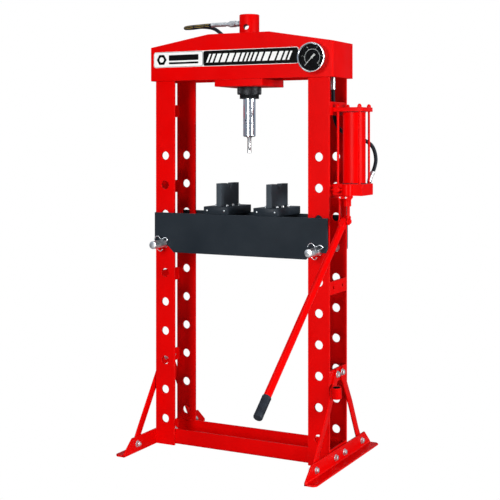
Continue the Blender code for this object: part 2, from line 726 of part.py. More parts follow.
def make_manifold():
    """The block that joins the pump's hose, the gauge and the ram's hose."""
    low = (MANIFOLD_X[0], MANIFOLD_Y[0], MANIFOLD_Z[0])
    high = (MANIFOLD_X[1], MANIFOLD_Y[1], MANIFOLD_Z[1])
    add("gauge_manifold", bevelled(box(low, high), 0.0015), "zinc")


# ---- Bed ----

def make_bed(parent):
    reach = PIN_RADIUS + GAP
    dip = BED_END_LOW_Z - BED_LOW_Z
    notch = [(POST_X - reach, BED_END_LOW_Z)] + arc(POST_X, PIN_Z, reach, 180, 0, 12)
    notch.append((POST_X + reach, BED_END_LOW_Z))
    right = [(BED_CUT_X, BED_LOW_Z), (BED_CUT_X + dip, BED_END_LOW_Z)] + notch
    right += [(BED_HALF, BED_END_LOW_Z), (BED_HALF, BED_TOP_Z)]
    outline = right + [(-x, z) for x, z in reversed(right)]
    outline = [(x, z - PIN_Z) for x, z in outline]
    for place, y in (("front", -BED_FACE_Y + BED_THICKNESS), ("rear", BED_FACE_Y)):
        side = moved(plate(outline, BED_THICKNESS), FACE_FRONT)
        add(f"bed_{place}_plate", side, "dark_paint", (0, y, PIN_Z), parent)
    half_y = BED_FACE_Y - BED_THICKNESS - GAP
    for name, x in (("left", -SPACER_X - SPACER_THICKNESS), ("right", SPACER_X)):
        spacer = box((0, -half_y, 0), (SPACER_THICKNESS, half_y, 0.116))
        add(f"bed_spacer_{name}", spacer, "dark_paint", (x, 0, 0.706), parent)


def clip_path():
    """The clip's bowed leg, its eye, the straight leg and its bent tip, in X and Z."""
    points = [(-0.0270, 0.0140), (-0.0245, 0.0215), (-0.0170, 0.0270), (-0.0085, 0.0255),
              (-0.0010, 0.0180), (0.0070, 0.0180), (0.0150, 0.0225), (0.0235, 0.0215),
              (0.0275, 0.0160), (0.0235, 0.0110), (0.0127, 0.0059), (0.0, 0.0),
              (-0.0127, -0.0059), (-0.0175, -0.0090), (-0.0180, -0.0145), (-0.0110, -0.0215),
              (-0.0015, -0.0260), (0.0050, -0.0215), (0.0065, -0.0175)]
    return smooth_path([(x, 0, z) for x, z in points], 2)


def make_bed_pin(side, x, parent, clip_parent):
    """A pin with a head chamfer, drilled across for its clip."""
    length = PIN_REAR_Y - PIN_FRONT_Y
    pin = moved(rod(PIN_RADIUS, 0, length, ROUND, 0.0015), ALONG_Y)
    pin = add(f"bed_pin_{side}", pin, "zinc", (x, PIN_FRONT_Y, PIN_Z), parent, rounded=True)
    slope = math.atan2(0.0127, 0.0059)
    hole = moved(rod(CLIP_HOLE, -0.03, 0.03, 12), Matrix.Rotation(slope, 4, "Y"))
    hole = moved(hole, Matrix.Translation((0, CLIP_Y - PIN_FRONT_Y, 0)))
    join_shape(pin, hole, "DIFFERENCE")
    wire = swept(clip_path(), CLIP_WIRE, 6)
    add(f"pin_clip_{side}", wire, "zinc", (x, CLIP_Y, PIN_Z), clip_parent, rounded=True)


def make_v_block(side, x, parent):
    """A base with an upright plate that has a V notch for a shaft."""
    half_x, half_y = BLOCK_SIZE[0] / 2, BLOCK_SIZE[1] / 2
    floor = BED_TOP_Z + GAP
    base = bevelled(box((-half_x, -half_y, 0), (half_x, half_y, BLOCK_SIZE[2])), 0.001)
    block = add(f"v_block_{side}", base, "dark_paint", (x, 0, floor), parent)
    half = UPRIGHT_SIZE[1] / 2
    top = UPRIGHT_TOP_Z - floor
    outline = [(-half, 0.010), (half, 0.010), (half, top), (NOTCH_HALF, top),
               (0, top - NOTCH_DEPTH), (-NOTCH_HALF, top), (-half, top)]
    wall = moved(plate(outline, UPRIGHT_SIZE[0]), FACE_SIDE)
    wall = moved(wall, Matrix.Translation((-UPRIGHT_SIZE[0] / 2, 0, 0)))
    join_shape(block, wall, "UNION")


# ---- Pump ----

def make_pump_block():
    """The valve block, with the barrel that guides the plunger."""
    low, high = PUMP_BLOCK_Z
    lug = 0.018
    reach = math.sqrt(lug ** 2 - (PLUNGER_Y + PUMP_HALF_Y) ** 2)
    start = math.degrees(math.acos(-reach / lug))
    outline = [(PUMP_LEFT_X, PUMP_HALF_Y), (PUMP_LEFT_X, -PUMP_HALF_Y)]
    outline += arc(LEVER_X, PLUNGER_Y, lug, start, 540 - start, 14)
    outline += [(PUMP_RIGHT_X, -PUMP_HALF_Y), (PUMP_RIGHT_X, PUMP_HALF_Y)]
    block = moved(plate(outline, high - low), Matrix.Translation((0, 0, low)))
    block = add("pump_block", block, "red_paint")
    to_plunger = Matrix.Translation((LEVER_X, PLUNGER_Y, 0))
    join_shape(block, moved(rod(0.0122, BARREL_LOW_Z, low + 0.010), to_plunger), "UNION")
    bore = rod(PLUNGER_BORE, BARREL_LOW_Z - 0.01, high - 0.004, 24)
    bore = moved(bore, to_plunger @ Matrix.Rotation(math.radians(4), 4, "Z"))
    join_shape(block, bore, "DIFFERENCE")
    seat = moved(rod(0.0055, 0, 0.012, SMALL), ALONG_Y)
    seat = moved(seat, Matrix.Translation((VALVE_X, -PUMP_HALF_Y - 0.002, VALVE_Z)))
    join_shape(block, seat, "DIFFERENCE")


def make_pump_top_plate():
    low, high = PUMP_PLATE_Z
    holes = [(x, s * TIE_ROD_Y, TIE_ROD_RADIUS + GAP) for x in TIE_ROD_X for s in (-1, 1)]
    outline = rectangle(PUMP_LEFT_X, PUMP_RIGHT_X, -PUMP_HALF_Y, PUMP_HALF_Y)
    add("pump_top_plate", plate(outline, high - low, holes, SMALL), "red_paint", (0, 0, low))


def make_reservoir():
    outer, inner = RESERVOIR_RADII
    wall = tube(inner, outer, PUMP_BLOCK_Z[1] + GAP, PUMP_PLATE_Z[0] - GAP, FINE)
    add("pump_reservoir", wall, "red_paint", (PUMP_X, 0, 0), rounded=True)


def make_tie_rods():
    """Four rods that clamp the reservoir, each with a domed nut on the top plate."""
    low = PUMP_BLOCK_Z[1] + GAP
    nut = PUMP_PLATE_Z[1] + GAP
    profile = [(0, low), (TIE_ROD_RADIUS, low), (TIE_ROD_RADIUS, nut), (0.0070, nut),
               (0.0070, nut + 0.006), (0.0052, nut + 0.0095), (0.0020, nut + 0.0115),
               (0, nut + 0.0118)]
    corners = [(x, s * TIE_ROD_Y) for x in TIE_ROD_X for s in (-1, 1)]
    for i, (x, y) in enumerate(corners):
        add(f"pump_tie_rod_{i + 1}", turned(profile, 12), "red_paint", (x, y, 0), rounded=True)


def make_plunger(parent):
    """The plunger in its barrel, and the push rod that meets the lever's short end."""
    foot = ARM_END[1] + ARM_END_RADIUS + ARM_CLEARANCE
    step, top = BARREL_LOW_Z + 0.002, 0.930
    profile = [(0, 0), (PUSH_ROD_RADIUS, 0), (PUSH_ROD_RADIUS, step - foot),
               (PLUNGER_RADIUS, step - foot), (PLUNGER_RADIUS, top - foot), (0, top - foot)]
    add("pump_plunger", turned(profile, 20), "chrome", (LEVER_X, PLUNGER_Y, foot), parent,
        rounded=True)


def make_lever_bracket():
    """Two arms under the pump block that carry the lever's pivot pin."""
    top = PUMP_BLOCK_Z[0] - GAP
    boss, half, fork_top = 0.0125, 0.0068, 0.8935
    outline = arc(PIVOT_Y, PIVOT_Z, boss, 125, 415, 12)
    outline += [(PIVOT_Y + half, fork_top), (BRACKET_REAR_Y, 0.9045), (BRACKET_REAR_Y, top),
                (BRACKET_FRONT_Y, top), (BRACKET_FRONT_Y, fork_top + 0.006),
                (PIVOT_Y - half, fork_top)]
    arm = plate(outline, BRACKET_THICKNESS, [(PIVOT_Y, PIVOT_Z, PIVOT_PIN_RADIUS + GAP)], 14)
    arm = moved(arm, FACE_SIDE)
    left = LEVER_X - BRACKET_INNER - BRACKET_THICKNESS
    bracket = add("lever_bracket", arm, "red_paint", (left, 0, 0))
    second = plate(outline, BRACKET_THICKNESS, [(PIVOT_Y, PIVOT_Z, PIVOT_PIN_RADIUS + GAP)], 14)
    second = moved(second, FACE_SIDE)
    apart = 2 * BRACKET_INNER + BRACKET_THICKNESS
    second = moved(second, Matrix.Translation((apart, 0, 0)))
    join_shape(bracket, second, "UNION")
    bridge = box((0.002, BRACKET_FRONT_Y + 0.001, top - 0.008),
                 (apart + BRACKET_THICKNESS - 0.002, BRIDGE_REAR_Y, top))
    join_shape(bracket, bridge, "UNION")


def make_lever_pin():
    reach = BRACKET_INNER + BRACKET_THICKNESS
    profile = [(0, -reach - 0.006), (0.0078, -reach - 0.006), (0.0078, -reach - GAP),
               (PIVOT_PIN_RADIUS, -reach - GAP), (PIVOT_PIN_RADIUS, reach + 0.003),
               (0, reach + 0.003)]
    add("lever_pin", moved(turned(profile, SMALL), ALONG_MINUS_X), "zinc",
        (LEVER_X, PIVOT_Y, PIVOT_Z), rounded=True)


def make_lever(parent):
    """The lever body about its pivot, with the short arm behind and the handle's stub in front."""
    arm_y, arm_z = ARM_END[0] - PIVOT_Y, ARM_END[1] - PIVOT_Z
    arm_angle = math.degrees(math.atan2(arm_z, arm_y))
    down = 180 + math.degrees(HANDLE_SLOPE)
    boss, neck = 0.0120, 0.0100
    neck_y = NECK_REACH * math.cos(math.radians(down))
    neck_z = NECK_REACH * math.sin(math.radians(down))
    outline = arc(0, 0, boss, arm_angle + 45, down - 60, 8)
    outline += arc(neck_y, neck_z, neck, down - 70, down + 70, 6)
    outline += arc(0, 0, boss, down + 60, arm_angle + 315, 5)
    outline += arc(arm_y, arm_z, ARM_END_RADIUS, arm_angle - 100, arm_angle + 100, 8)
    hole = [(0, 0, PIVOT_PIN_RADIUS + GAP)]
    body = moved(plate(outline, 2 * LEVER_HALF, hole, SMALL), FACE_SIDE)
    body = moved(body, Matrix.Translation((-LEVER_HALF, 0, 0)))
    lever = add("pump_lever", body, "red_paint", (LEVER_X, PIVOT_Y, PIVOT_Z), parent,
                rounded=True)
    stub = rod(STUB_RADIUS, 0.018, HANDLE_START + STUB_LENGTH, 20)
    join_shape(lever, moved(stub, along_handle()), "UNION")


def along_handle():
    """Turns a shape made along +Z to lie along the handle, down and towards the operator."""
    return Matrix.Rotation(math.radians(90) + HANDLE_SLOPE, 4, "X")


def make_handle(parent):
    """The tubular handle, and the grip on its lower end."""
    outer, inner = HANDLE_RADII
    end = HANDLE_START + HANDLE_LENGTH
    bar = tube(inner, outer, HANDLE_START, end, 24)
    add("pump_handle", moved(bar, along_handle()), "red_paint", (LEVER_X, PIVOT_Y, PIVOT_Z),
        parent, rounded=True)
    sleeve = outer + GAP
    start = end - GRIP_LENGTH + 0.004
    tip = start + GRIP_LENGTH
    rim = 0.003
    profile = [(0, end + GAP), (sleeve, end + GAP), (sleeve, start), (GRIP_RADIUS, start),
               (GRIP_RADIUS, tip - rim), (GRIP_RADIUS - rim, tip), (0, tip)]
    add("handle_grip", moved(turned(profile, 20), along_handle()), "rubber",
        (LEVER_X, PIVOT_Y, PIVOT_Z), parent, rounded=True)


def make_release_valve(parent):
    """The screw that lets the ram return, with a round knob and a cross bar."""
    face = PUMP_HALF_Y + 0.0008
    profile = [(0, -0.008), (0.0050, -0.008), (0.0050, 0.012), (0.0095, 0.014), (0.0095, 0.024),
               (0.0080, 0.0255), (0, 0.0255)]
    valve = add("release_valve", moved(turned(profile, 20), TOWARDS_FRONT), "red_paint",
                (VALVE_X, -face, VALVE_Z), parent, rounded=True)
    bar = moved(rod(0.0025, -0.019, 0.019, 10), ALONG_X)
    join_shape(valve, moved(bar, Matrix.Translation((0, -0.019, 0))), "UNION")


def make_pump_hose():
    """From the back of the pump block, round through the post and up to the manifold."""
    path = smooth_path([
        (0.424, PUMP_HALF_Y + GAP, 0.930), (0.424, 0.057, 0.930), (0.424, 0.064, 0.931),
        (0.4238, 0.0715, 0.939), (0.4232, 0.0740, 0.954), (0.4262, 0.0780, 0.971),
        (0.4325, 0.0845, 0.988), (0.4368, 0.0930, 1.009), (0.4370, 0.1000, 1.0326),
        (0.4331, 0.0940, 1.062), (0.4215, 0.0835, 1.084), (0.3930, 0.0675, 1.102),
        (0.357, 0.0575, 1.113),
        (0.3290, 0.043, 1.132), (0.3190, 0.022, 1.165), (0.3180, 0.009, 1.225),
        (0.3190, 0.004, 1.290),
        (0.3190, 0.004, MANIFOLD_Z[0] - GAP)], 3)
    add("pump_hose", swept(path, HOSE_RADIUS, 8), "rubber", rounded=True)


def build():
    clear_scene()
    make_posts()
    make_ties()
    make_base_channel()
    make_feet()
    make_braces()
    make_handle_holder()
    make_head_front_plate()
    make_head_rear_plate()
    make_ram_mount()
    make_ram_cylinder()
    make_ram_end_cap()
    make_lock_ring()
    make_ram(pivot("ram_axis", (0, 0, ROD_LOW_Z)))
    make_ram_coupler()
    make_ram_hose()
    make_gauge()
    make_gauge_pointer(pivot("pointer_axis", (GAUGE_X, 0, GAUGE_Z)))
    make_manifold()
    bed_axis = pivot("bed_axis", (0, 0, PIN_Z))
    make_bed(bed_axis)
    for side, x in (("left", -POST_X), ("right", POST_X)):
        pin_axis = pivot(f"bed_pin_axis_{side}", (x, PIN_FRONT_Y, PIN_Z))
        clip_axis = pivot(f"pin_clip_axis_{side}", (x, CLIP_Y, PIN_Z), pin_axis)
        make_bed_pin(side, x, pin_axis, clip_axis)
    for side, x in zip(("left", "right"), BLOCK_X):
        make_v_block(side, x, pivot(f"v_block_axis_{side}", (x, 0, BED_TOP_Z), bed_axis))
    make_pump_block()
    make_pump_top_plate()
    make_reservoir()
    make_tie_rods()
    make_plunger(pivot("plunger_axis", (LEVER_X, PLUNGER_Y, ARM_END[1])))
    make_lever_bracket()
    make_lever_pin()
    lever_axis = pivot("lever_axis", (LEVER_X, PIVOT_Y, PIVOT_Z))
    make_lever(lever_axis)
    make_handle(pivot("handle_axis", (LEVER_X, PIVOT_Y, PIVOT_Z), lever_axis))
    make_release_valve(pivot("valve_axis", (VALVE_X, -PUMP_HALF_Y, VALVE_Z)))
    make_pump_hose()


build()
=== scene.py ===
"""The looks of a hydraulic shop press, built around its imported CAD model.

Lengths are in metres. Heights in this file are given from the floor, and show() moves each
finished shape down to the frame's own zero.
"""

import random
from math import acos, atan2, copysign, cos, degrees, hypot, pi, radians, sin, sqrt

import bmesh
import bpy
from mathutils import Matrix, Vector


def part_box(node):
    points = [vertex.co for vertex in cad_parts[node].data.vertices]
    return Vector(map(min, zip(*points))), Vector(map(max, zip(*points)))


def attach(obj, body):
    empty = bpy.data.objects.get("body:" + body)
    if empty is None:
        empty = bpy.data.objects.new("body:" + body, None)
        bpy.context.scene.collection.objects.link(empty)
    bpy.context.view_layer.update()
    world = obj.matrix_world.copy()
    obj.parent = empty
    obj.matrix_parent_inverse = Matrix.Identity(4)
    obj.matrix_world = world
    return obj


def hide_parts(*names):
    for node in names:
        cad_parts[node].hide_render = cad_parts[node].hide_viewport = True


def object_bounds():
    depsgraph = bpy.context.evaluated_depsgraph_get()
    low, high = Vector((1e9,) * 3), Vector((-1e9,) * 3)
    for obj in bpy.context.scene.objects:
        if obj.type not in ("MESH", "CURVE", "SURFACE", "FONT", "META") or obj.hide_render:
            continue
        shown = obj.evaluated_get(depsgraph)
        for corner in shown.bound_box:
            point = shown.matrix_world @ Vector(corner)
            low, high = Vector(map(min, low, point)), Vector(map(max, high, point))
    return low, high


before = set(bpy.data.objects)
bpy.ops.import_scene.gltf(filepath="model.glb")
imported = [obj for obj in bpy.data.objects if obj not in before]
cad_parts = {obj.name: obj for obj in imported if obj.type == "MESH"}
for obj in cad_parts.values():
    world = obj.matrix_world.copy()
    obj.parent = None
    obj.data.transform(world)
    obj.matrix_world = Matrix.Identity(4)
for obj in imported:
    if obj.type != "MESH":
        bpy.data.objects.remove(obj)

CAD_LOW, CAD_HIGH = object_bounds()
FLOOR_Z = CAD_LOW.z
random.seed(7)

# Driving sizes that the frame's boxes don't give
HOLE_PITCH = 0.105
HOLE_ROWS = 10
TOP_HOLE_Z = 1.04
HOLE_RADIUS = 0.015
TIE_BOLT_Y = (0.039, 0.039, 0.039, 0.021)   # from the middle, for each tie from the top
SMALL_HOLE = 0.0055
FOOT_SHEET = 0.006
FOOT_BOLTS = (0.038, 0.199)        # distances from the middle
FOOT_BOLT_Z = 0.029
FOOT_TOP_HALF = 0.229
ANCHOR_Y = 0.243
BRACE_TOP = (0.021, 0.306)         # y and z of the upper bolt
BRACE_LOW = (0.199, 0.029)         # y and z of the lower bolt
BRACE_WIDTH = 0.03
BRACE_END = 0.012
BRACE_THICKNESS = 0.005
BRACE_BENDS = {"left": (0.06, 0.85), "right": (0.44, 0.85)}   # as shares of the length
HEAD_SIDE_Z = 1.4284
CHAMFER_LENGTH = 0.238
FOLD_RADIUS = 0.005
FOLD_INNER = 0.0008
CYLINDER_RADIUS = 0.0345
CROSS_HOLE_Z = 1.4936
CROSS_HOLE_RADIUS = 0.01
CROSS_HOLE_TURN = radians(22)
CROSS_HOLE_OFFSET = (-0.0078, -0.004)
PORT_Z = 1.509
ROD_JOINT_Z = 1.1545
HOSE_RADIUS = 0.0065
PIN_RADIUS = 0.014
CLIP_Y = -0.107
NOTCH_HALF = 0.02
NOTCH_DEPTH = 0.02
LEVER_PIVOT = Vector((0.395, -0.08, 0.828))
ARM_END = Vector((0.395, -0.052, 0.838))
HANDLE_SLOPE = radians(38.8)
HANDLE_START = 0.035
HANDLE_LENGTH = 0.775
GRIP_LENGTH = 0.076
EDGE = 0.0007                      # width of a broken edge on sheet metal
FRAME_BOLT = 0.0165                # across the flats
MANIFOLD_PORT_Z = 1.368
PUMP_PORT = (0.424, 0.93)          # x and z of the hose's port in the pump block
POST_PORT = (0.319, 0.004)         # x and y of the hose where it goes up to the manifold
RELEASE_PORT = (0.364, 0.931)      # x and z of the release valve's boss
NEEDLE_Y = -0.1122
CLIP_SLOPE = atan2(0.0127, 0.0059)
POINTER_REST = 225                 # degrees clockwise from straight up

SIDES = (("left", -1), ("right", 1))

# Turns a plate that lies in XY to stand in XZ, with its thickness towards -Y
FACE_FRONT = Matrix(((1, 0, 0, 0), (0, 0, -1, 0), (0, 1, 0, 0), (0, 0, 0, 1)))
# Turns a plate that lies in XY to stand in YZ, with its thickness towards +X
FACE_SIDE = Matrix(((0, 0, 1, 0), (1, 0, 0, 0), (0, 1, 0, 0), (0, 0, 0, 1)))
ALONG_Y = Matrix.Rotation(radians(-90), 4, "X")
ALONG_MINUS_Y = Matrix.Rotation(radians(90), 4, "X")
ALONG_MINUS_X = Matrix.Rotation(radians(-90), 4, "Y")
ALONG_X = Matrix.Rotation(radians(90), 4, "Y")
# Down and towards the operator
ALONG_HANDLE = Matrix.Rotation(radians(90) + HANDLE_SLOPE, 4, "X")
TO_LEVER = Matrix.Translation(LEVER_PIVOT)


def shift(x=0.0, y=0.0, z=0.0):
    return Matrix.Translation((x, y, z))


def spot(node):
    """A CAD node's lowest and highest corners, with heights from the floor."""
    low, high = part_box(node)
    up = Vector((0, 0, FLOOR_Z))
    return low - up, high - up


# ---- Materials ----

def feed(tree, made, inputs):
    """Gives each input of a node its value, or links the socket that feeds it."""
    for key, value in inputs.items():
        if isinstance(value, bpy.types.NodeSocket):
            tree.links.new(value, made.inputs[key])
        else:
            made.inputs[key].default_value = value


def node(tree, kind, inputs=None, **settings):
    made = tree.nodes.new(kind)
    for key, value in settings.items():
        setattr(made, key, value)
    feed(tree, made, inputs or {})
    return made


def noise(tree, where, scale, detail):
    made = node(tree, "ShaderNodeTexNoise", {"Vector": where, "Scale": scale, "Detail": detail})
    return made.outputs["Fac"]


def wave(tree, where, scale, detail):
    """Slanting bands, as the wrapping tape prints on a hose."""
    made = node(tree, "ShaderNodeTexWave", {"Vector": where, "Scale": scale, "Distortion": 1.5,
                                            "Detail": detail}, bands_direction="DIAGONAL")
    return made.outputs["Fac"]


def ranged(tree, value, low, high, start=0.3, end=0.7):
    """Maps a value from start..end to low..high, held at both ends."""
    made = node(tree, "ShaderNodeMapRange", {"Value": value, "From Min": start, "From Max": end,
                                             "To Min": low, "To Max": high})
    return made.outputs["Result"]


def mixed(tree, factor, first, second):
    made = node(tree, "ShaderNodeMix", {0: factor, 6: first, 7: second}, data_type="RGBA")
    return made.outputs[2]


def edge_mask(tree, radius):
    """Near 1 on sharp edges and 0 on flat faces."""
    rounded = node(tree, "ShaderNodeBevel", {"Radius": radius}, samples=4)
    geometry = node(tree, "ShaderNodeNewGeometry")
    dot = node(tree, "ShaderNodeVectorMath", {0: rounded.outputs["Normal"],
                                              1: geometry.outputs["Normal"]}, operation="DOT_PRODUCT")
    return ranged(tree, dot.outputs["Value"], 1.0, 0.0, 0.8, 0.985)


def rgba(colour):
    return (*colour, 1.0)


def started(name):
    """A new material, its node tree and its shader."""
    material = bpy.data.materials.new(name)
    material.use_nodes = True
    tree = material.node_tree
    return material, tree, tree.nodes["Principled BSDF"]


def blended(tree, factor, first, second):
    """Sends a mix of two shaders to the material's output."""
    mix = node(tree, "ShaderNodeMixShader", {0: factor, 1: first, 2: second})
    output = next(n for n in tree.nodes if n.type == "OUTPUT_MATERIAL")
    feed(tree, output, {"Surface": mix.outputs["Shader"]})


def surface(name, dark, bright, patch, polish, relief, shine, metallic=0.0, over=None, texture=noise,
            spread=(0.3, 0.7), stretch=1.0):
    """A finish in patches of two tones, with an uneven polish and a fine relief.

    patch is (scale, detail), polish is (low, high, scale, detail) and relief is
    (scale, detail, depth, strength); over paints marks on top of the two tones.
    """
    material, tree, shader = started(name)
    where = node(tree, "ShaderNodeTexCoord").outputs["Object"]
    patches = ranged(tree, texture(tree, where, *patch), 0.0, 1.0, *spread)
    tone = mixed(tree, patches, rgba(dark), rgba(bright))
    if over:
        tone = over(tree, where, tone)
    low, high, *grain = polish
    rough = ranged(tree, noise(tree, where, *grain), low, high)
    *grain, depth, strength = relief
    along = node(tree, "ShaderNodeMapping", {"Vector": where, "Scale": (1.0, 1.0, stretch)})
    height = texture(tree, along.outputs["Vector"], *grain)
    bump = node(tree, "ShaderNodeBump", {"Height": height, "Distance": depth, "Strength": strength})
    feed(tree, shader, {"Base Color": tone, "Roughness": rough, "Normal": bump.outputs["Normal"],
                        "Specular IOR Level": shine, "Metallic": metallic})
    return material


def dusty(tree, where, tone):
    """Specks of pale dust on a tone."""
    dust = ranged(tree, noise(tree, where, 300.0, 4.0), 0.0, 0.1, 0.6, 0.78)
    return mixed(tree, dust, tone, (0.14, 0.15, 0.17, 1.0))


def paint(name, deep, bright, edge, polish, shine, peel):
    """Sprayed paint: slow tone changes, orange peel, a painted highlight with thinner paint on the edges,
    fine dust.
    """

    def specks_and_edge_highlight(tree, where, tone):
        speckle = ranged(tree, noise(tree, where, 420.0, 2.0), 0.0, 0.1, 0.62, 0.75)
        tone = mixed(tree, speckle, tone, rgba([c * 0.55 for c in deep]))
        # The lighter colour on sharp edges is a painted highlight, partly also thinner paint there.
        broken = ranged(tree, noise(tree, where, 90.0, 3.0), 0.0, 1.0, 0.4, 0.66)
        thin = node(tree, "ShaderNodeMath", {0: edge_mask(tree, 0.0011), 1: broken},
                    operation="MULTIPLY")
        return mixed(tree, thin.outputs[0], tone, rgba(edge))

    return surface(name, deep, bright, (7.0, 4.0), (*polish, 16.0, 5.0), (peel, 2.0, 0.00022, 0.35),
                   shine, over=specks_and_edge_highlight)


def printed(name, colour, dark, roughness):
    """Printed or lacquered face with a slightly uneven ink film."""
    return surface(name, dark, colour, (160.0, 4.0), (roughness * 0.8, roughness * 1.2, 64.0, 4.0),
                   (960.0, 2.0, 0.00003, 0.3), 0.03)


def glass(name):
    """Thin clear lens: mostly see-through, with a soft reflection."""
    material, tree, shader = started(name)
    where = node(tree, "ShaderNodeTexCoord").outputs["Object"]
    feed(tree, shader, {"Base Color": (0.02, 0.02, 0.02, 1.0),
                        "Roughness": ranged(tree, noise(tree, where, 50.0, 3.0), 0.02, 0.06)})
    clear = node(tree, "ShaderNodeBsdfTransparent", {"Color": (0.97, 0.98, 0.98, 1.0)})
    sight = node(tree, "ShaderNodeFresnel", {"IOR": 1.35})
    blended(tree, sight.outputs["Fac"], clear.outputs["BSDF"], shader.outputs["BSDF"])
    return material


# The edge colours here and in LOOKS paint a highlight on sharp edges, partly also thinner paint.
RED_EDGE_HIGHLIGHT = (0.95, 0.09, 0.07)
WHITE = (1.0, 1.0, 1.0, 1.0)

# Each look and the record's material slot that it belongs to
LOOKS = {
    "red": (paint("red_enamel", (0.62, 0.0, 0.0), (0.72, 0.0, 0.0), RED_EDGE_HIGHLIGHT, (0.34, 0.5), 0.05,
                  260.0), "red_paint"),
    "gloss": (paint("red_gloss", (0.66, 0.0, 0.0), (0.76, 0.0, 0.0), RED_EDGE_HIGHLIGHT, (0.26, 0.38), 0.05,
                    220.0), "red_paint"),
    "anthracite": (paint("anthracite_satin", (0.011, 0.016, 0.022), (0.018, 0.024, 0.031),
                         (0.13, 0.15, 0.17), (0.34, 0.5), 0.1, 380.0), "dark_paint"),
    # A lighter copy of the anthracite paint for the V-block plates: its extra brightness is painted
    # light.
    "anthracite_painted_light": (paint("anthracite_satin_painted_light", (0.038, 0.048, 0.058), (0.056, 0.07, 0.084),
                    (0.16, 0.18, 0.2), (0.36, 0.5), 0.1, 380.0), "dark_paint"),
    "chrome": (surface("hard_chrome", (0.72, 0.76, 0.79), (0.88, 0.9, 0.91), (30.0, 3.0),
                       (0.12, 0.2, 60.0, 4.0), (30.0, 3.0, 0.00004, 0.25), 0.5, 1.0, stretch=60.0),
               "chrome"),
    "zinc": (surface("zinc_plate", (0.52, 0.55, 0.57), (0.82, 0.84, 0.85), (35.0, 4.0),
                     (0.26, 0.48, 80.5, 5.0), (500.0, 3.0, 0.0001, 0.5), 0.2, 1.0), "zinc"),
    "black_steel": (surface("black_oxide", (0.01, 0.011, 0.013), (0.034, 0.036, 0.04), (40.0, 4.0),
                            (0.32, 0.55, 92.0, 5.0), (700.0, 3.0, 0.0002, 0.5), 0.2, 0.55),
                    "black_steel"),
    "rubber": (surface("grip_rubber", (0.009, 0.011, 0.016), (0.019, 0.024, 0.034), (45.0, 5.0),
                       (0.45, 0.7, 80.0, 4.0), (900.0, 3.0, 0.0003, 0.6), 0.15, over=dusty), "rubber"),
    "hose": (surface("hose_cover", (0.006, 0.009, 0.014), (0.016, 0.021, 0.03), (170.0, 1.0),
                     (0.38, 0.62, 60.0, 4.0), (170.0, 1.0, 0.0003, 0.5), 0.15, texture=wave,
                     spread=(0.2, 0.8)), "rubber"),
    "stripe": (printed("hose_print", (0.8, 0.56, 0.12), (0.62, 0.42, 0.08), 0.5), "rubber"),
    "dial": (printed("dial_face", (0.006, 0.006, 0.007), (0.003, 0.003, 0.004), 0.5), "dial_black"),
    "marks": (printed("dial_marks", (0.8, 0.8, 0.78), (0.68, 0.68, 0.66), 0.5), "pointer_white"),
    "arc": (printed("dial_arc", (0.55, 0.57, 0.57), (0.46, 0.48, 0.48), 0.5), "pointer_white"),
    "glass": (glass("gauge_glass"), "lens"),
    "band_black": (printed("band_black", (0.003, 0.003, 0.003), (0.006, 0.006, 0.006), 0.35),
                   "red_paint"),
    "band_white": (printed("band_white", (0.86, 0.86, 0.85), (0.8, 0.8, 0.79), 0.35), "red_paint"),
}


# ---- Shapes ----

def turn_outward(bm):
    bmesh.ops.recalc_face_normals(bm, faces=bm.faces[:])
    if bm.calc_volume(signed=True) < 0:
        bmesh.ops.reverse_faces(bm, faces=bm.faces[:])


def moved(bm, *matrices):
    """Moves a shape by each matrix in turn."""
    for matrix in matrices:
        bm.transform(matrix)
    return bm


def joined(*shapes):
    """All the shapes in one."""
    whole = bmesh.new()
    for bm in shapes:
        turn_outward(bm)
        mesh = bpy.data.meshes.new("part")
        bm.to_mesh(mesh)
        bm.free()
        whole.from_mesh(mesh)
        bpy.data.meshes.remove(mesh)
    return whole


def placed(name, bm):
    """An object made from a shape whose heights are given from the floor."""
    turn_outward(bm)
    bm.transform(shift(z=FLOOR_Z))
    mesh = bpy.data.meshes.new(name)
    bm.to_mesh(mesh)
    bm.free()
    obj = bpy.data.objects.new(name, mesh)
    bpy.context.collection.objects.link(obj)
    return obj


def show(name, bm, look, *stands_for, body="frame", edge=0.0, sharp=35):
    """Makes a piece that rides on a body and stands for CAD nodes, with its edges bevelled."""
    obj = placed(name, bm)
    mesh = obj.data
    mesh.shade_smooth()
    material, slot_name = LOOKS[look]
    mesh.materials.append(material)
    if edge:
        modifier = obj.modifiers.new("Edge", "BEVEL")
        modifier.width = edge
        modifier.segments = 2
        modifier.limit_method = "ANGLE"
        modifier.angle_limit = radians(sharp)
        modifier.harden_normals = True
    else:
        mesh.set_sharp_from_angle(angle=radians(sharp))
    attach(obj, body)
    if stands_for:
        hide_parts(*stands_for)
    return obj


def evaluated(obj):
    """A new mesh of an object with its modifiers applied."""
    graph = bpy.context.evaluated_depsgraph_get()
    return bpy.data.meshes.new_from_object(obj.evaluated_get(graph), depsgraph=graph)


def cut(obj, bm):
    """Cuts a shape, with heights from the floor, out of a piece."""
    cutter = placed("cutter", bm)
    modifier = obj.modifiers.new("Cut", "BOOLEAN")
    modifier.operation = "DIFFERENCE"
    modifier.object = cutter
    result = evaluated(obj)
    obj.modifiers.clear()
    obj.data = result
    result.shade_smooth()
    result.set_sharp_from_angle(angle=radians(35))
    bpy.data.objects.remove(cutter)


def circle(x, y, radius, sides=48):
    turns = (2 * pi * i / sides for i in range(sides))
    return [(x + radius * cos(a), y + radius * sin(a)) for a in turns]


def arc(x, y, radius, start, end, steps):
    """Points of an arc between two angles in degrees."""
    angles = (radians(start + (end - start) * i / steps) for i in range(steps + 1))
    return [(x + radius * cos(a), y + radius * sin(a)) for a in angles]


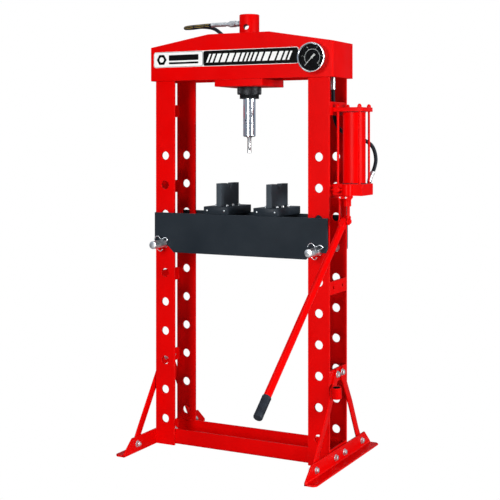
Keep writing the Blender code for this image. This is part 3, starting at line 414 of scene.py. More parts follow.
def rectangle(low_x, high_x, low_y, high_y, corner=0.0):
    if not corner:
        return [(low_x, low_y), (high_x, low_y), (high_x, high_y), (low_x, high_y)]
    points = []
    for x, y, start in ((high_x, low_y, -90), (high_x, high_y, 0), (low_x, high_y, 90),
                        (low_x, low_y, 180)):
        inner_x = x - copysign(corner, x - (low_x + high_x) / 2)
        inner_y = y - copysign(corner, y - (low_y + high_y) / 2)
        points += arc(inner_x, inner_y, corner, start, start + 90, 5)
    return points


def mirrored(points):
    """Points followed by their mirror images in x, in the order that closes a loop."""
    return points + [(-x, y) for x, y in reversed(points)]


def anticlockwise(loop):
    area = sum(x0 * y1 - x1 * y0 for (x0, y0), (x1, y1) in zip(loop, loop[1:] + loop[:1]))
    return loop if area > 0 else loop[::-1]


def inset(loop, distance):
    """An anticlockwise loop moved towards its inside."""
    result = []
    for before, here, after in zip(loop[-1:] + loop, loop, loop[1:] + loop[:1]):
        first = (Vector(here) - Vector(before)).normalized()
        second = (Vector(after) - Vector(here)).normalized()
        normal = Vector((-first.y - second.y, first.x + second.x))
        normal /= max(normal.length_squared / 2, 0.2)
        result.append((here[0] + normal.x * distance, here[1] + normal.y * distance))
    return result


def skin(bm, rings):
    """Faces from each ring of vertices to the next; a ring of one vertex is a point."""
    for near, far in zip(rings, rings[1:]):
        for i in range(max(len(near), len(far))):
            j = i + 1
            bm.faces.new(dict.fromkeys((near[i % len(near)], near[j % len(near)],
                                        far[j % len(far)], far[i % len(far)])))


def lofted(rings):
    """A solid over rings of points, with a face on each end."""
    bm = bmesh.new()
    rings = [[bm.verts.new(point) for point in ring] for ring in rings]
    skin(bm, rings)
    bm.faces.new(rings[0])
    bm.faces.new(rings[-1])
    return bm


def plate(outline, thickness, holes=(), edge=EDGE, sides=48):
    """A flat plate on XY from z = 0 up, with round holes and broken edges."""
    bm = bmesh.new()
    outline = anticlockwise(list(outline))
    loops = [(outline, inset(outline, edge))]
    loops += [(circle(x, y, radius, sides), circle(x, y, radius + edge, sides))
              for x, y, radius in holes]
    step = copysign(edge, thickness)
    ends = ([], [])
    for full, small in loops:
        levels = ((small, 0), (full, step), (full, thickness - step), (small, thickness))
        rings = [[bm.verts.new((x, y, z)) for x, y in loop] for loop, z in levels]
        skin(bm, rings)
        for edges, ring in zip(ends, (rings[0], rings[-1])):
            edges += [bm.edges.get(pair) for pair in zip(ring, ring[1:] + ring[:1])]
    for edges in ends:
        bmesh.ops.triangle_fill(bm, edges=edges, use_beauty=True)
    return bm


def box(low, high):
    bm = bmesh.new()
    bmesh.ops.create_cube(bm, size=1)
    bmesh.ops.scale(bm, vec=Vector(high) - Vector(low), verts=bm.verts)
    bmesh.ops.translate(bm, vec=(Vector(high) + Vector(low)) / 2, verts=bm.verts)
    return bm


def turned(profile, sides=64):
    """A turned shape about Z; a profile that doesn't start on the axis closes on itself."""
    bm = bmesh.new()
    rings = []
    for radius, height in profile:
        points = [(0, 0)] if radius == 0 else circle(0, 0, radius, sides)
        rings.append([bm.verts.new((x, y, height)) for x, y in points])
    if profile[0][0] > 0:
        rings.append(rings[0])
    skin(bm, rings)
    return bm


def rod(radius, low, high, edge=0.0004, sides=48):
    return turned([(0, low), (radius - edge, low), (radius, low + edge), (radius, high - edge),
                   (radius - edge, high), (0, high)], sides)


def tube(inner, outer, low, high, edge=0.0004, sides=48):
    return turned([(inner, low + edge), (inner + edge, low), (outer - edge, low),
                   (outer, low + edge), (outer, high - edge), (outer - edge, high),
                   (inner + edge, high), (inner, high - edge)], sides)


def smooth_path(points, steps=10):
    """A Catmull-Rom curve through the points."""
    knots = [Vector(p) for p in points]
    knots = [2 * knots[0] - knots[1]] + knots + [2 * knots[-1] - knots[-2]]
    path = []
    for a, b, c, d in zip(knots, knots[1:], knots[2:], knots[3:]):
        for i in range(steps):
            t = i / steps
            path.append(0.5 * (2 * b + (c - a) * t + (2 * a - 5 * b + 4 * c - d) * t ** 2
                               + (3 * b - a - 3 * c + d) * t ** 3))
    path.append(knots[-2])
    return path


def swept(path, radius, sides=20, ripple=0.0):
    """A round bar along a path; a ripple makes it swell and narrow like a weld bead."""
    headings = [after - before for before, after in zip(path, path[2:])]
    headings = [path[1] - path[0]] + headings + [path[-1] - path[-2]]
    rings = []
    last = headings[0]
    across = last.orthogonal().normalized()
    for i, (centre, heading) in enumerate(zip(path, headings)):
        across = (last.rotation_difference(heading) @ across).normalized()
        up = heading.normalized().cross(across)
        last = heading
        size = radius * (1 + ripple * sin(i * 2.1))
        rings.append([centre + x * across + y * up for x, y in circle(0, 0, size, sides)])
    return lofted(rings)


def weld(start, end, radius=0.0024):
    """A short rippled bead between two points."""
    start, end = Vector(start), Vector(end)
    count = max(4, int((end - start).length / 0.0012))
    path = [start.lerp(end, i / count) for i in range(count + 1)]
    return swept(path, radius, 8, 0.12)


def weld_up(x, y, low, high, radius=0.0024):
    """An upright bead."""
    return weld((x, y, low), (x, y, high), radius)


def hexagon(across, low, high):
    """A hexagon bar whose upper end is turned to a chamfer."""
    corner = across / sqrt(3)
    return turned([(0, low), (corner, low), (corner, high - 0.0012), (corner * 0.88, high), (0, high)],
                  6)


def hex_bolt(across, height, washer=1.25):
    """A bolt head on its washer, along +Z from the face it clamps."""
    ring = rod(across * washer * 0.577, 0.0, 0.0016, 0.0003, 32)
    dome = turned([(0, height), (across * 0.46, height), (across * 0.36, height + 0.001),
                   (0, height + 0.0014)], 24)
    return joined(ring, hexagon(across, 0.0016, height), dome)


# ---- Frame ----

def build_posts():
    """Two drilled flat bars for each post."""
    rows = [TOP_HOLE_Z - i * HOLE_PITCH for i in range(HOLE_ROWS)]
    for side in ("left", "right"):
        for place in ("front", "rear"):
            cad = f"upright_{place}_{side}"
            low, high = spot(cad)
            middle = (low.x + high.x) / 2
            bar = plate(rectangle(low.x, high.x, low.z, high.z, 0.0015), high.y - low.y,
                        [(middle, z, HOLE_RADIUS) for z in rows])
            show(f"post_{place}_{side}", moved(bar, FACE_FRONT, shift(y=high.y)), "red", cad)


def build_ties():
    """The four ties of each post, and the weld beads that hold them to the bars."""
    for side, sign in SIDES:
        beads = []
        for i, bolt_y in enumerate(TIE_BOLT_Y):
            cad = f"tie_{side}_{i + 1}"
            low, high = spot(cad)
            middle = (low.z + high.z) / 2
            holes = [(-bolt_y, middle, SMALL_HOLE), (bolt_y, middle, SMALL_HOLE)]
            bar = plate(rectangle(low.y, high.y, low.z, high.z), high.x - low.x, holes, sides=24)
            show(f"tie_plate_{side}_{i + 1}", moved(bar, FACE_SIDE, shift(low.x)), "red", cad)
            inner_x = low.x if sign > 0 else high.x
            for y in (low.y, high.y):
                beads.append(weld_up(inner_x, y, low.z + 0.003, high.z - 0.003, 0.002))
        show(f"tie_welds_{side}", joined(*beads), "red")


def build_base():
    """A bent channel that opens upward, with an end plate let into each end."""
    low, high = spot("base_channel")
    wall, bend = 0.005, 0.008
    outer = [(low.y, high.z)] + arc(low.y + bend, low.z + bend, bend, 180, 270, 6)
    outer += arc(high.y - bend, low.z + bend, bend, 270, 360, 6) + [(high.y, high.z)]
    inner = [(high.y - wall, high.z)] + arc(high.y - bend, low.z + bend, bend - wall, 360, 270, 6)
    inner += arc(low.y + bend, low.z + bend, bend - wall, 270, 180, 6) + [(low.y + wall, high.z)]
    channel = moved(plate(outer + inner, high.x - low.x), FACE_SIDE, shift(low.x))
    ends = []
    for x in (low.x + 0.001, high.x - wall - 0.001):
        ends.append(box((x, low.y + wall, low.z + wall), (x + wall, high.y - wall, high.z - 0.001)))
        inner_x = x + wall if x < 0 else x
        for y in (low.y + wall, high.y - wall):
            ends.append(weld_up(inner_x, y, low.z + 0.01, high.z - 0.002))
    show("base_channel_bent", joined(channel, *ends), "red", "base_channel")


def build_feet():
    """A steel angle under each post, with a rounded inner corner and cut outer corners."""
    for side, sign in SIDES:
        low, high = spot(f"foot_{side}")
        inner_x = high.x if sign < 0 else low.x
        width = high.x - low.x
        half, toe, corner, root = high.y, 0.01, 0.01, 0.004
        outline = mirrored([(half, 0), (half, toe), (FOOT_TOP_HALF, high.z)])
        holes = [(s * y, FOOT_BOLT_Z, SMALL_HOLE) for y in FOOT_BOLTS for s in (-1, 1)]
        flange = plate(outline, sign * FOOT_SHEET, holes, sides=24)
        flange = moved(flange, FACE_SIDE, shift(inner_x))
        sole = [(0.0008, -half), (width - corner, -half), (width, -half + corner)]
        sole += [(width, half - corner), (width - corner, half), (0.0008, half)]
        anchor = (width + FOOT_SHEET) / 2
        anchors = [(sign * anchor, s * ANCHOR_Y, SMALL_HOLE) for s in (-1, 1)]
        sole = plate([(sign * x, y) for x, y in sole], FOOT_SHEET, anchors, sides=24)
        sole = moved(sole, shift(inner_x))
        fillet = [(0, 0), (root, 0)] + arc(root, root, root, 270, 180, 5)[1:]
        fillet = plate([(sign * x, z) for x, z in fillet], 2 * half - 0.004, edge=0.0001)
        fillet = moved(fillet, FACE_FRONT,
                       shift(inner_x + sign * FOOT_SHEET, half - 0.002, FOOT_SHEET))
        show(f"foot_angle_{side}", joined(flange, sole, fillet), "red", f"foot_{side}")


def bent_bar(stations, width, thickness):
    """A flat bar along +X with its thickness along +Z; a station is (x, z of the lower face)."""
    half = width / 2
    return lofted([((x, -half, z), (x, half, z), (x, half, z + thickness), (x, -half, z + thickness))
                   for x, z in stations])


def brace_ends(side):
    """Inner x, from the middle, of a brace's upper end and of its lower end."""
    low, high = spot(f"brace_front_{side}")
    near, far = sorted((abs(low.x), abs(high.x)))
    thickness = BRACE_THICKNESS
    return (near, far - thickness) if side == "left" else (far - thickness, near)


def build_braces():
    """Flat bars with two small bends each; the lower end goes outside or inside the foot."""
    run_y, run_z = BRACE_LOW[0] - BRACE_TOP[0], BRACE_LOW[1] - BRACE_TOP[1]
    length = hypot(run_y, run_z)
    slope = Matrix.Rotation(atan2(run_z, run_y), 4, "X")
    for side, sign in SIDES:
        top, foot = brace_ends(side)
        first, second = BRACE_BENDS[side]
        step = foot - top
        stations = [(-BRACE_END, 0), ((first - 0.01) * length, 0), ((first + 0.01) * length, step * 0.03),
                    ((second - 0.01) * length, step * 0.97), ((second + 0.01) * length, step),
                    (length + BRACE_END, step)]
        for place, ahead in (("front", -1), ("rear", 1)):
            to_place = [FACE_SIDE, slope, Matrix.Diagonal((sign, ahead, 1, 1)),
                        shift(sign * top, ahead * BRACE_TOP[0], BRACE_TOP[1])]
            bar = moved(bent_bar(stations, BRACE_WIDTH, BRACE_THICKNESS), *to_place)
            name = f"{place}_{side}"
            strut = show(f"strut_{name}", bar, "red", f"brace_{name}", edge=EDGE)
            holes = [moved(rod(SMALL_HOLE, -0.03, 0.03, 0.0001, 24), shift(x), *to_place)
                     for x in (0, length)]
            cut(strut, joined(*holes))


def build_holder():
    """The short tube that the handle is kept in, on the front right brace."""
    low, high = spot("handle_holder")
    brace_face = brace_ends("right")[0] + BRACE_THICKNESS
    outer, inner, half = 0.0165, 0.013, 0.019
    middle = Vector((high.x - outer, (low.y + high.y) / 2, (low.z + high.z) / 2))
    lean = Matrix.Rotation(radians(8), 4, "X")
    ring = moved(tube(inner, outer, -half, half, 0.0008), lean)
    # A near-black liner inside the tube paints the shade in its bore.
    bore = moved(tube(inner - 0.0004, inner - 0.0001, 0.002 - half, half - 0.0012, 0.0001), lean)
    show("holder_bore_painted_shade", moved(bore, Matrix.Translation(middle)), "black_steel")
    ring = moved(ring, Matrix.Translation(middle))
    pad = box((brace_face + 0.0002, middle.y - 0.007, middle.z - 0.017),
              (middle.x - inner - 0.001, middle.y + 0.007, middle.z))
    beads = [weld((brace_face + 0.001, middle.y + s * 0.009, middle.z - 0.014),
                  (brace_face + 0.002, middle.y + s * 0.0085, middle.z + 0.012)) for s in (-1, 1)]
    show("holder_tube", joined(ring, pad, *beads), "red", "handle_holder")


def through_bolt(sign, outside, inside, y, z):
    """A hex bolt that goes in at x = outside, and its nut at x = inside."""
    out, back = (ALONG_X, ALONG_MINUS_X) if sign > 0 else (ALONG_MINUS_X, ALONG_X)
    spin = Matrix.Rotation(random.uniform(0, 1), 4, "Z")
    head = moved(hex_bolt(FRAME_BOLT, 0.0085), spin, out, shift(outside, y, z))
    nut = joined(hex_bolt(FRAME_BOLT, 0.0095), rod(0.0045, 0.0, 0.015, 0.0006, 20))
    return joined(head, moved(nut, spin, back, shift(inside, y, z)))


def build_frame_bolts():
    """Hex bolts through the feet and through the upper ends of the braces, with their nuts."""
    bolts = []
    for side, sign in SIDES:
        foot_low, foot_high = spot(f"foot_{side}")
        inner_x = foot_high.x if sign < 0 else foot_low.x
        face = inner_x + sign * FOOT_SHEET
        top, foot = brace_ends(side)
        wall = sign * (spot("base_channel")[1].x - 0.0062)
        tie_low, tie_high = spot(f"tie_{side}_4")
        tie_back = tie_low.x if sign > 0 else tie_high.x
        outside = max(abs(face), foot + BRACE_THICKNESS) if side == "left" else abs(face)
        inside = abs(inner_x) if side == "left" else foot
        for s in (-1, 1):
            bolts.append(through_bolt(sign, face, wall, s * FOOT_BOLTS[0], FOOT_BOLT_Z))
            bolts.append(through_bolt(sign, sign * outside, sign * inside, s * FOOT_BOLTS[1],
                                      FOOT_BOLT_Z))
            bolts.append(through_bolt(sign, sign * (top + BRACE_THICKNESS), tie_back,
                                      s * BRACE_TOP[0], BRACE_TOP[1]))
    show("frame_bolts", joined(*bolts), "zinc")


# ---- Head ----

def head_top(x, high):
    """Height of the head's top edge at x."""
    rise = (high.x - abs(x)) * (high.z - HEAD_SIDE_Z) / CHAMFER_LENGTH
    return min(high.z, HEAD_SIDE_Z + rise)


def build_head():
    """The folded front plate, the rear plate, and the beads where they meet."""
    low, high = spot("head_front_plate")
    rear_low, rear_high = spot("head_rear_plate")
    sheet = rear_high.y - rear_low.y
    deep = sheet + FOLD_INNER
    shoulder = high.x - CHAMFER_LENGTH
    outer = [(shoulder, low.y)]
    outer += arc(high.x - FOLD_RADIUS, low.y + FOLD_RADIUS, FOLD_RADIUS, -90, 0, 10)
    outer.append((high.x, high.y))
    inner = [(shoulder, low.y + sheet)]
    inner += arc(high.x - deep, low.y + deep, FOLD_INNER, -90, 0, 10)
    inner.append((high.x - sheet, high.y))
    outer = mirrored(outer[::-1])
    inner = mirrored(inner[::-1])
    rings = [((ox, oy, low.z), (ox, oy, head_top(ox, high)), (ix, iy, head_top(ix, high)),
              (ix, iy, low.z)) for (ox, oy), (ix, iy) in zip(outer, inner)]
    show("head_front", lofted(rings), "red", "head_front_plate", edge=0.001)
    outline = mirrored([(high.x, low.z), (high.x, HEAD_SIDE_Z), (shoulder, high.z)])
    rear = moved(plate(outline, sheet, edge=0.001), FACE_FRONT, shift(y=rear_high.y))
    show("head_rear", rear, "red", "head_rear_plate")
    beads = []
    for x in (low.x + 0.0008, high.x - 0.0008):
        beads.append(weld_up(x, rear_low.y, low.z + 0.004, HEAD_SIDE_Z - 0.004, 0.002))
    for side in ("left", "right"):
        for place, y in (("front", low.y + sheet), ("rear", rear_low.y)):
            bar_low, bar_high = spot(f"upright_{place}_{side}")
            for x in (bar_low.x, bar_high.x):
                beads.append(weld_up(x, y, low.z + 0.004, bar_high.z, 0.0026))
    show("head_welds", joined(*beads), "red")


def build_mount_plate():
    """The plate under the head that the ram hangs in."""
    low, high = spot("ram_mount_plate")
    mount = plate(rectangle(low.x, high.x, low.y, high.y, 0.002), high.z - low.z,
                  [(0, 0, CYLINDER_RADIUS + 0.0002)], edge=0.0012, sides=64)
    show("ram_mount", moved(mount, shift(z=low.z)), "red", "ram_mount_plate")
    head_low = spot("head_front_plate")[0]
    z = high.z + 0.001
    beads = [weld((low.x + 0.004, y, z), (high.x - 0.004, y, z))
             for y in (head_low.y + 0.0083, -head_low.y - 0.0083)]
    show("ram_mount_welds", joined(*beads), "red")


def band_shapes(start, end, low, high):
    """Slanted bars of changing width, as a plain pattern along the black part of the band."""
    height = high - low
    lean = height * 0.42
    shapes = []
    x = start
    widths = [0.0075, 0.011, 0.015, 0.019]
    while x + widths[0] + lean < end:
        for width in widths:
            if x + width + lean > end:
                break
            shapes.append([(x, low), (x + width, low), (x + width + lean, high), (x + lean, high)])
            x += width + 0.0075
        widths = widths[::-1]
    return shapes


def build_band():
    """The name band on the head: no name, only a plain pattern in its place."""
    face_y = spot("head_front_plate")[0].y
    left, right, low, high, split = -0.343, 0.232, 1.3555, 1.4115, -0.138
    thin, keyline = 0.0004, 0.0016

    def film(name, outlines, look, depth):
        sheets = [moved(plate(outline, thin, edge=0.00008), FACE_FRONT) for outline in outlines]
        show(name, moved(joined(*sheets), shift(y=face_y - depth)), look)

    film("band_backing", [rectangle(left, right, low, high, 0.009)], "band_white", 0.0001)
    inner = rectangle(split, right - keyline, low + keyline, high - keyline, 0.0078)
    film("band_dark_part", [inner], "band_black", 0.0005)
    border = rectangle(left + 0.0012, split - 0.0016, low + 0.0012, high - 0.0012, 0.0075)
    hollow = rectangle(left + 0.0024, split - 0.0028, low + 0.0024, high - 0.0024, 0.0066)
    film("band_left_border", [border], "band_black", 0.0005)
    film("band_left_part", [hollow], "band_white", 0.0009)
    middle = (low + high) / 2
    nut_x = left + 0.034
    ring = plate(circle(nut_x, middle, 0.0205, 6), thin, [(nut_x, middle, 0.0092)], 0.00008)
    show("band_nut", moved(ring, FACE_FRONT, shift(y=face_y - 0.0013)), "band_black")
    bars = []
    for reach, base, top in ((0.122, -0.004, 0.016), (0.122, -0.0165, -0.0095)):
        bars.append(rectangle(nut_x + 0.03, nut_x + 0.03 + reach, middle + base, middle + top, 0.003))
    film("band_left_bars", bars, "band_black", 0.0013)
    film("band_pattern", band_shapes(split + 0.012, right - 0.016, low + 0.013, high - 0.013),
         "band_white", 0.0009)


# ---- Ram ----

def build_cylinder():
    """The cylinder with its ring grooves at the lower end, and the wiper round the rod."""
    low, high = spot("ram_cylinder")
    edge = 0.0012
    profile = [(0.0223, low.z), (CYLINDER_RADIUS - edge, low.z), (CYLINDER_RADIUS, low.z + edge)]
    z = low.z + 0.003
    while z < low.z + 0.013:
        profile += [(CYLINDER_RADIUS, z), (CYLINDER_RADIUS - 0.0009, z + 0.001)]
        z += 0.002
    profile += [(CYLINDER_RADIUS, z), (CYLINDER_RADIUS, high.z), (0.0285, high.z),
                (0.0285, low.z + 0.0202), (0.0223, low.z + 0.0202)]
    show("cylinder_tube", turned(profile, 96), "black_steel", "ram_cylinder")
    wiper = tube(0.0221, 0.0262, low.z - 0.0006, low.z + 0.004, 0.0006)
    show("rod_wiper", wiper, "rubber")


def build_lock_ring():
    """A ring nut with a straight knurl between two plain bands."""
    low, high = spot("ram_lock_ring")
    outer = high.x
    teeth = 56
    knurled = []
    for i in range(4 * teeth):
        deep = i % 4 in (2, 3)
        turn = 2 * pi * i / (4 * teeth)
        radius = outer - (0.0011 if deep else 0.0)
        knurled.append((radius * cos(turn), radius * sin(turn)))
    middle = (high.z + low.z) / 2
    reach = (high.z - low.z) / 2 - 0.0035
    hole = [(0, 0, CYLINDER_RADIUS + 0.0003)]
    ring = moved(plate(knurled, 2 * reach, hole, 0.0003, 64), shift(z=middle - reach))
    bands = [tube(CYLINDER_RADIUS + 0.0003, outer - 0.0008, low.z, middle - reach, 0.0008, 96),
             tube(CYLINDER_RADIUS + 0.0003, outer - 0.0008, middle + reach, high.z, 0.0008, 96)]
    show("lock_ring_knurled", joined(ring, *bands), "black_steel", "ram_lock_ring", sharp=25)


def build_end_cap():
    """The red cap on the ram, dished on top, with its cross hole and the hose's port."""
    low, high = spot("ram_end_cap")
    radius, edge, dish = high.x, 0.0022, 0.0025
    base = spot("head_front_plate")[1].z + 0.0003
    profile = [(0, low.z), (radius - 0.0071, low.z), (radius - 0.0071, base), (radius - 0.0008, base),
               (radius, base + 0.0008), (radius, high.z - edge), (radius - 0.0007, high.z - 0.0007),
               (radius - edge, high.z), (radius - 0.005, high.z), (radius - 0.0062, high.z - dish),
               (0, high.z - dish)]
    cap = show("end_cap", turned(profile, 96), "red", "ram_end_cap")
    cross = moved(rod(CROSS_HOLE_RADIUS, -0.05, 0.05), ALONG_Y,
                  Matrix.Rotation(CROSS_HOLE_TURN, 4, "Z"), shift(*CROSS_HOLE_OFFSET, CROSS_HOLE_Z))
    cut(cap, cross)
    ring = tube(0.0064, 0.0095, 0.0, 0.0012, 0.0003)
    show("port_washer", moved(ring, ALONG_MINUS_X, shift(-radius + 0.0006, 0, PORT_Z)), "zinc")


def build_rod():
    """The chromed rod, and the nosepiece with its set screw, held in one line."""
    low, high = spot("piston_rod")
    radius = 0.022
    profile = [(0, low.z), (radius - 0.0006, low.z), (radius, low.z + 0.0006), (radius, high.z - 0.022),
               (0.028, high.z - 0.022), (0.028, high.z), (0, high.z)]
    rod_piece = show("ram_rod", turned(profile, 96), "chrome", "piston_rod", body="ram")
    turn = Matrix.Rotation(radians(-12), 4, "Z")
    pocket = moved(rod(0.0028, 0.016, 0.03, 0.0001, 24), ALONG_MINUS_Y, turn,
                   shift(z=ROD_JOINT_Z + 0.011))
    cut(rod_piece, pocket)
    screw = moved(rod(0.0026, 0.015, 0.0195, 0.0003, 20), ALONG_MINUS_Y, turn,
                  shift(z=ROD_JOINT_Z + 0.011))
    show("nose_set_screw", screw, "black_steel", body="ram")
    low, high = spot("ram_nose")
    shoulder, tip = 1.1076, 0.007
    profile = [(0, low.z), (tip - 0.001, low.z), (tip, low.z + 0.001), (tip, shoulder - 0.006),
               (0.0105, shoulder - 0.0004), (radius - 0.003, shoulder), (radius, shoulder + 0.003),
               (radius, high.z - 0.0006), (radius - 0.0006, high.z), (0, high.z)]
    show("nosepiece", turned(profile, 96), "chrome", "ram_nose", body="ram")


# ---- Hoses ----

def crimped(length, radius, grooves):
    """A hose ferrule along +Z with crimp grooves."""
    profile = [(0, 0), (radius * 0.86, 0), (radius, 0.001)]
    for i in range(grooves):
        z = length * (0.22 + 0.56 * i / max(grooves - 1, 1))
        profile += [(radius, z - 0.0012), (radius * 0.86, z - 0.0006), (radius * 0.86, z + 0.0006),
                    (radius, z + 0.0012)]
    profile += [(radius, length - 0.001), (radius * 0.86, length), (0, length)]
    return turned(profile, 32)


def build_coupler():
    """Nipple, quick coupler with its knurled sleeve, waist and crimped ferrule, along -X."""
    end = -spot("ram_coupler")[0].x
    nipple = turned([(0, 0.0235), (0.006, 0.0235), (0.006, 0.042), (0, 0.042)], 32)
    nut = moved(hexagon(0.0185, 0.04, 0.05), Matrix.Rotation(0.2, 4, "Z"))
    neck = rod(0.008, 0.05, 0.054)
    teeth = 30
    knurl = [(0.0115 - 0.0006 * (i % 2), 2 * pi * i / (2 * teeth)) for i in range(2 * teeth)]
    knurl = [(r * cos(a), r * sin(a)) for r, a in knurl]
    sleeve = moved(plate(knurl, 0.015, edge=0.0005), shift(z=0.058))
    rims = [rod(0.0115, 0.053, 0.0582, 0.0008), rod(0.0115, 0.0728, 0.077, 0.0008)]
    waist = rod(0.0062, 0.077, 0.1)
    hexes = [hexagon(0.014, 0.079, 0.087), hexagon(0.014, 0.0935, 0.1015)]
    ferrule = moved(crimped(end - 0.1015, 0.0079, 3), shift(z=0.1015))
    whole = joined(nipple, nut, neck, sleeve, *rims, waist, *hexes, ferrule)
    show("quick_coupler", moved(whole, ALONG_MINUS_X, shift(z=PORT_Z)), "zinc", "ram_coupler")


def ribbon(path, start, end, side, half_width):
    """A thin strip that lies on a hose, in the direction of side, from one path point to another."""
    rings = []
    for i in range(start, end):
        heading = (path[i + 1] - path[i - 1]).normalized()
        out = (side - heading * side.dot(heading)).normalized()
        across = heading.cross(out)
        ring = []
        for lean, rise in ((-1, 0.99), (-1, 1.04), (1, 1.04), (1, 0.99)):
            angle = lean * half_width / HOSE_RADIUS
            around = out * cos(angle) + across * sin(angle)
            ring.append(path[i] + around * HOSE_RADIUS * rise)
        rings.append(ring)
    return lofted(rings)


def build_ram_hose():
    """The hose from the coupler to the manifold, with its printed dashes and its ferrule."""
    start = spot("ram_coupler")[0].x
    end = spot("gauge_manifold")[0].x
    path = smooth_path([
        (start, 0.0, PORT_Z), (start - 0.01, 0.0, PORT_Z), (start - 0.02, 0.0, PORT_Z),
        (-0.195, 0.0, 1.508), (-0.228, 0.001, 1.507), (-0.258, 0.008, 1.506),
        (-0.279, 0.03, 1.506), (-0.266, 0.054, 1.508), (-0.225, 0.064, 1.511),
        (-0.18, 0.066, 1.503), (-0.143, 0.064, 1.478), (-0.11, 0.06, 1.447),
        (-0.065, 0.056, 1.415), (0.04, 0.054, 1.385), (0.15, 0.04, 1.375),
        (0.25, 0.0, MANIFOLD_PORT_Z), (end - 0.015, 0.0, MANIFOLD_PORT_Z),
        (end, 0.0, MANIFOLD_PORT_Z)])
    show("ram_hose_line", swept(path, HOSE_RADIUS), "hose", "ram_hose")
    front = Vector((0.45, -0.88, -0.1))
    dashes = [ribbon(path, i, i + 15, front, 0.0034) for i in (8, 24, 40, 56)]
    show("ram_hose_stripe", joined(*dashes), "stripe")
    fitting = joined(hexagon(0.016, 0.0, 0.009), moved(crimped(0.022, 0.0076, 2), shift(z=0.009)))
    show("ram_hose_ferrule", moved(fitting, ALONG_MINUS_X, shift(end, 0, MANIFOLD_PORT_Z)), "zinc")


def build_pump_hose():
    """The hose from the pump block to the manifold, with its elbow and sleeves."""
    top = spot("gauge_manifold")[0].z
    rear = spot("pump_block")[1].y
    path = smooth_path([
        (PUMP_PORT[0], rear, PUMP_PORT[1]), (0.424, 0.057, 0.93), (0.424, 0.064, 0.931),
        (0.4238, 0.0715, 0.939), (0.4232, 0.074, 0.954), (0.4262, 0.078, 0.971),
        (0.4325, 0.0845, 0.988), (0.4368, 0.093, 1.009), (0.437, 0.1, 1.0326),
        (0.4331, 0.094, 1.062), (0.4215, 0.0835, 1.084), (0.393, 0.0675, 1.102),
        (0.357, 0.0575, 1.113),
        (0.329, 0.043, 1.132), (0.319, 0.022, 1.165), (0.318, 0.009, 1.225),
        (*POST_PORT, 1.29), (*POST_PORT, top)])
    show("pump_hose_line", swept(path, HOSE_RADIUS), "hose", "pump_hose")
    nut = moved(hexagon(0.0165, 0.0, 0.0075), ALONG_Y, shift(PUMP_PORT[0], rear, PUMP_PORT[1]))
    elbow = swept(path[6:42], 0.0072)
    show("pump_hose_elbow", joined(nut, elbow), "black_steel")
    sleeve = swept(path[40:61], 0.0079)
    collars = [swept(path[i:i + 3], 0.0085) for i in (41, 56)]
    upper = moved(crimped(0.042, 0.0082, 3), shift(*POST_PORT, 1.268))
    show("pump_hose_fittings", joined(sleeve, *collars, upper), "zinc")


# ---- Gauge ----

def dial_ring(radius, width, start, end, depth, steps=60):
    """A thin arc on the dial; angles run clockwise from straight up, seen from the front."""
    outer = arc(0, 0, radius + width / 2, 90 - start, 90 - end, steps)
    inner = arc(0, 0, radius - width / 2, 90 - end, 90 - start, steps)
    return moved(plate(outer + inner, depth, edge=0.00005), FACE_FRONT)


def dial_tick(turn, inner, outer, width, depth):
    bar = plate(rectangle(-width / 2, width / 2, inner, outer), depth, edge=0.00005)
    return moved(bar, FACE_FRONT, Matrix.Rotation(radians(turn), 4, "Y"))


def dial_number(text, turn, radius, size, depth):
    """A number on the dial, as mesh."""
    curve = bpy.data.curves.new("number", "FONT")
    curve.body = text
    curve.size = size
    curve.extrude = depth / 2
    curve.align_x = "CENTER"
    curve.align_y = "CENTER"
    obj = bpy.data.objects.new("number", curve)
    bpy.context.collection.objects.link(obj)
    mesh = evaluated(obj)
    bm = bmesh.new()
    bm.from_mesh(mesh)
    bpy.data.objects.remove(obj)
    bpy.data.curves.remove(curve)
    bpy.data.meshes.remove(mesh)
    angle = radians(turn)
    return moved(bm, FACE_FRONT, shift(radius * sin(angle), 0, radius * cos(angle)))


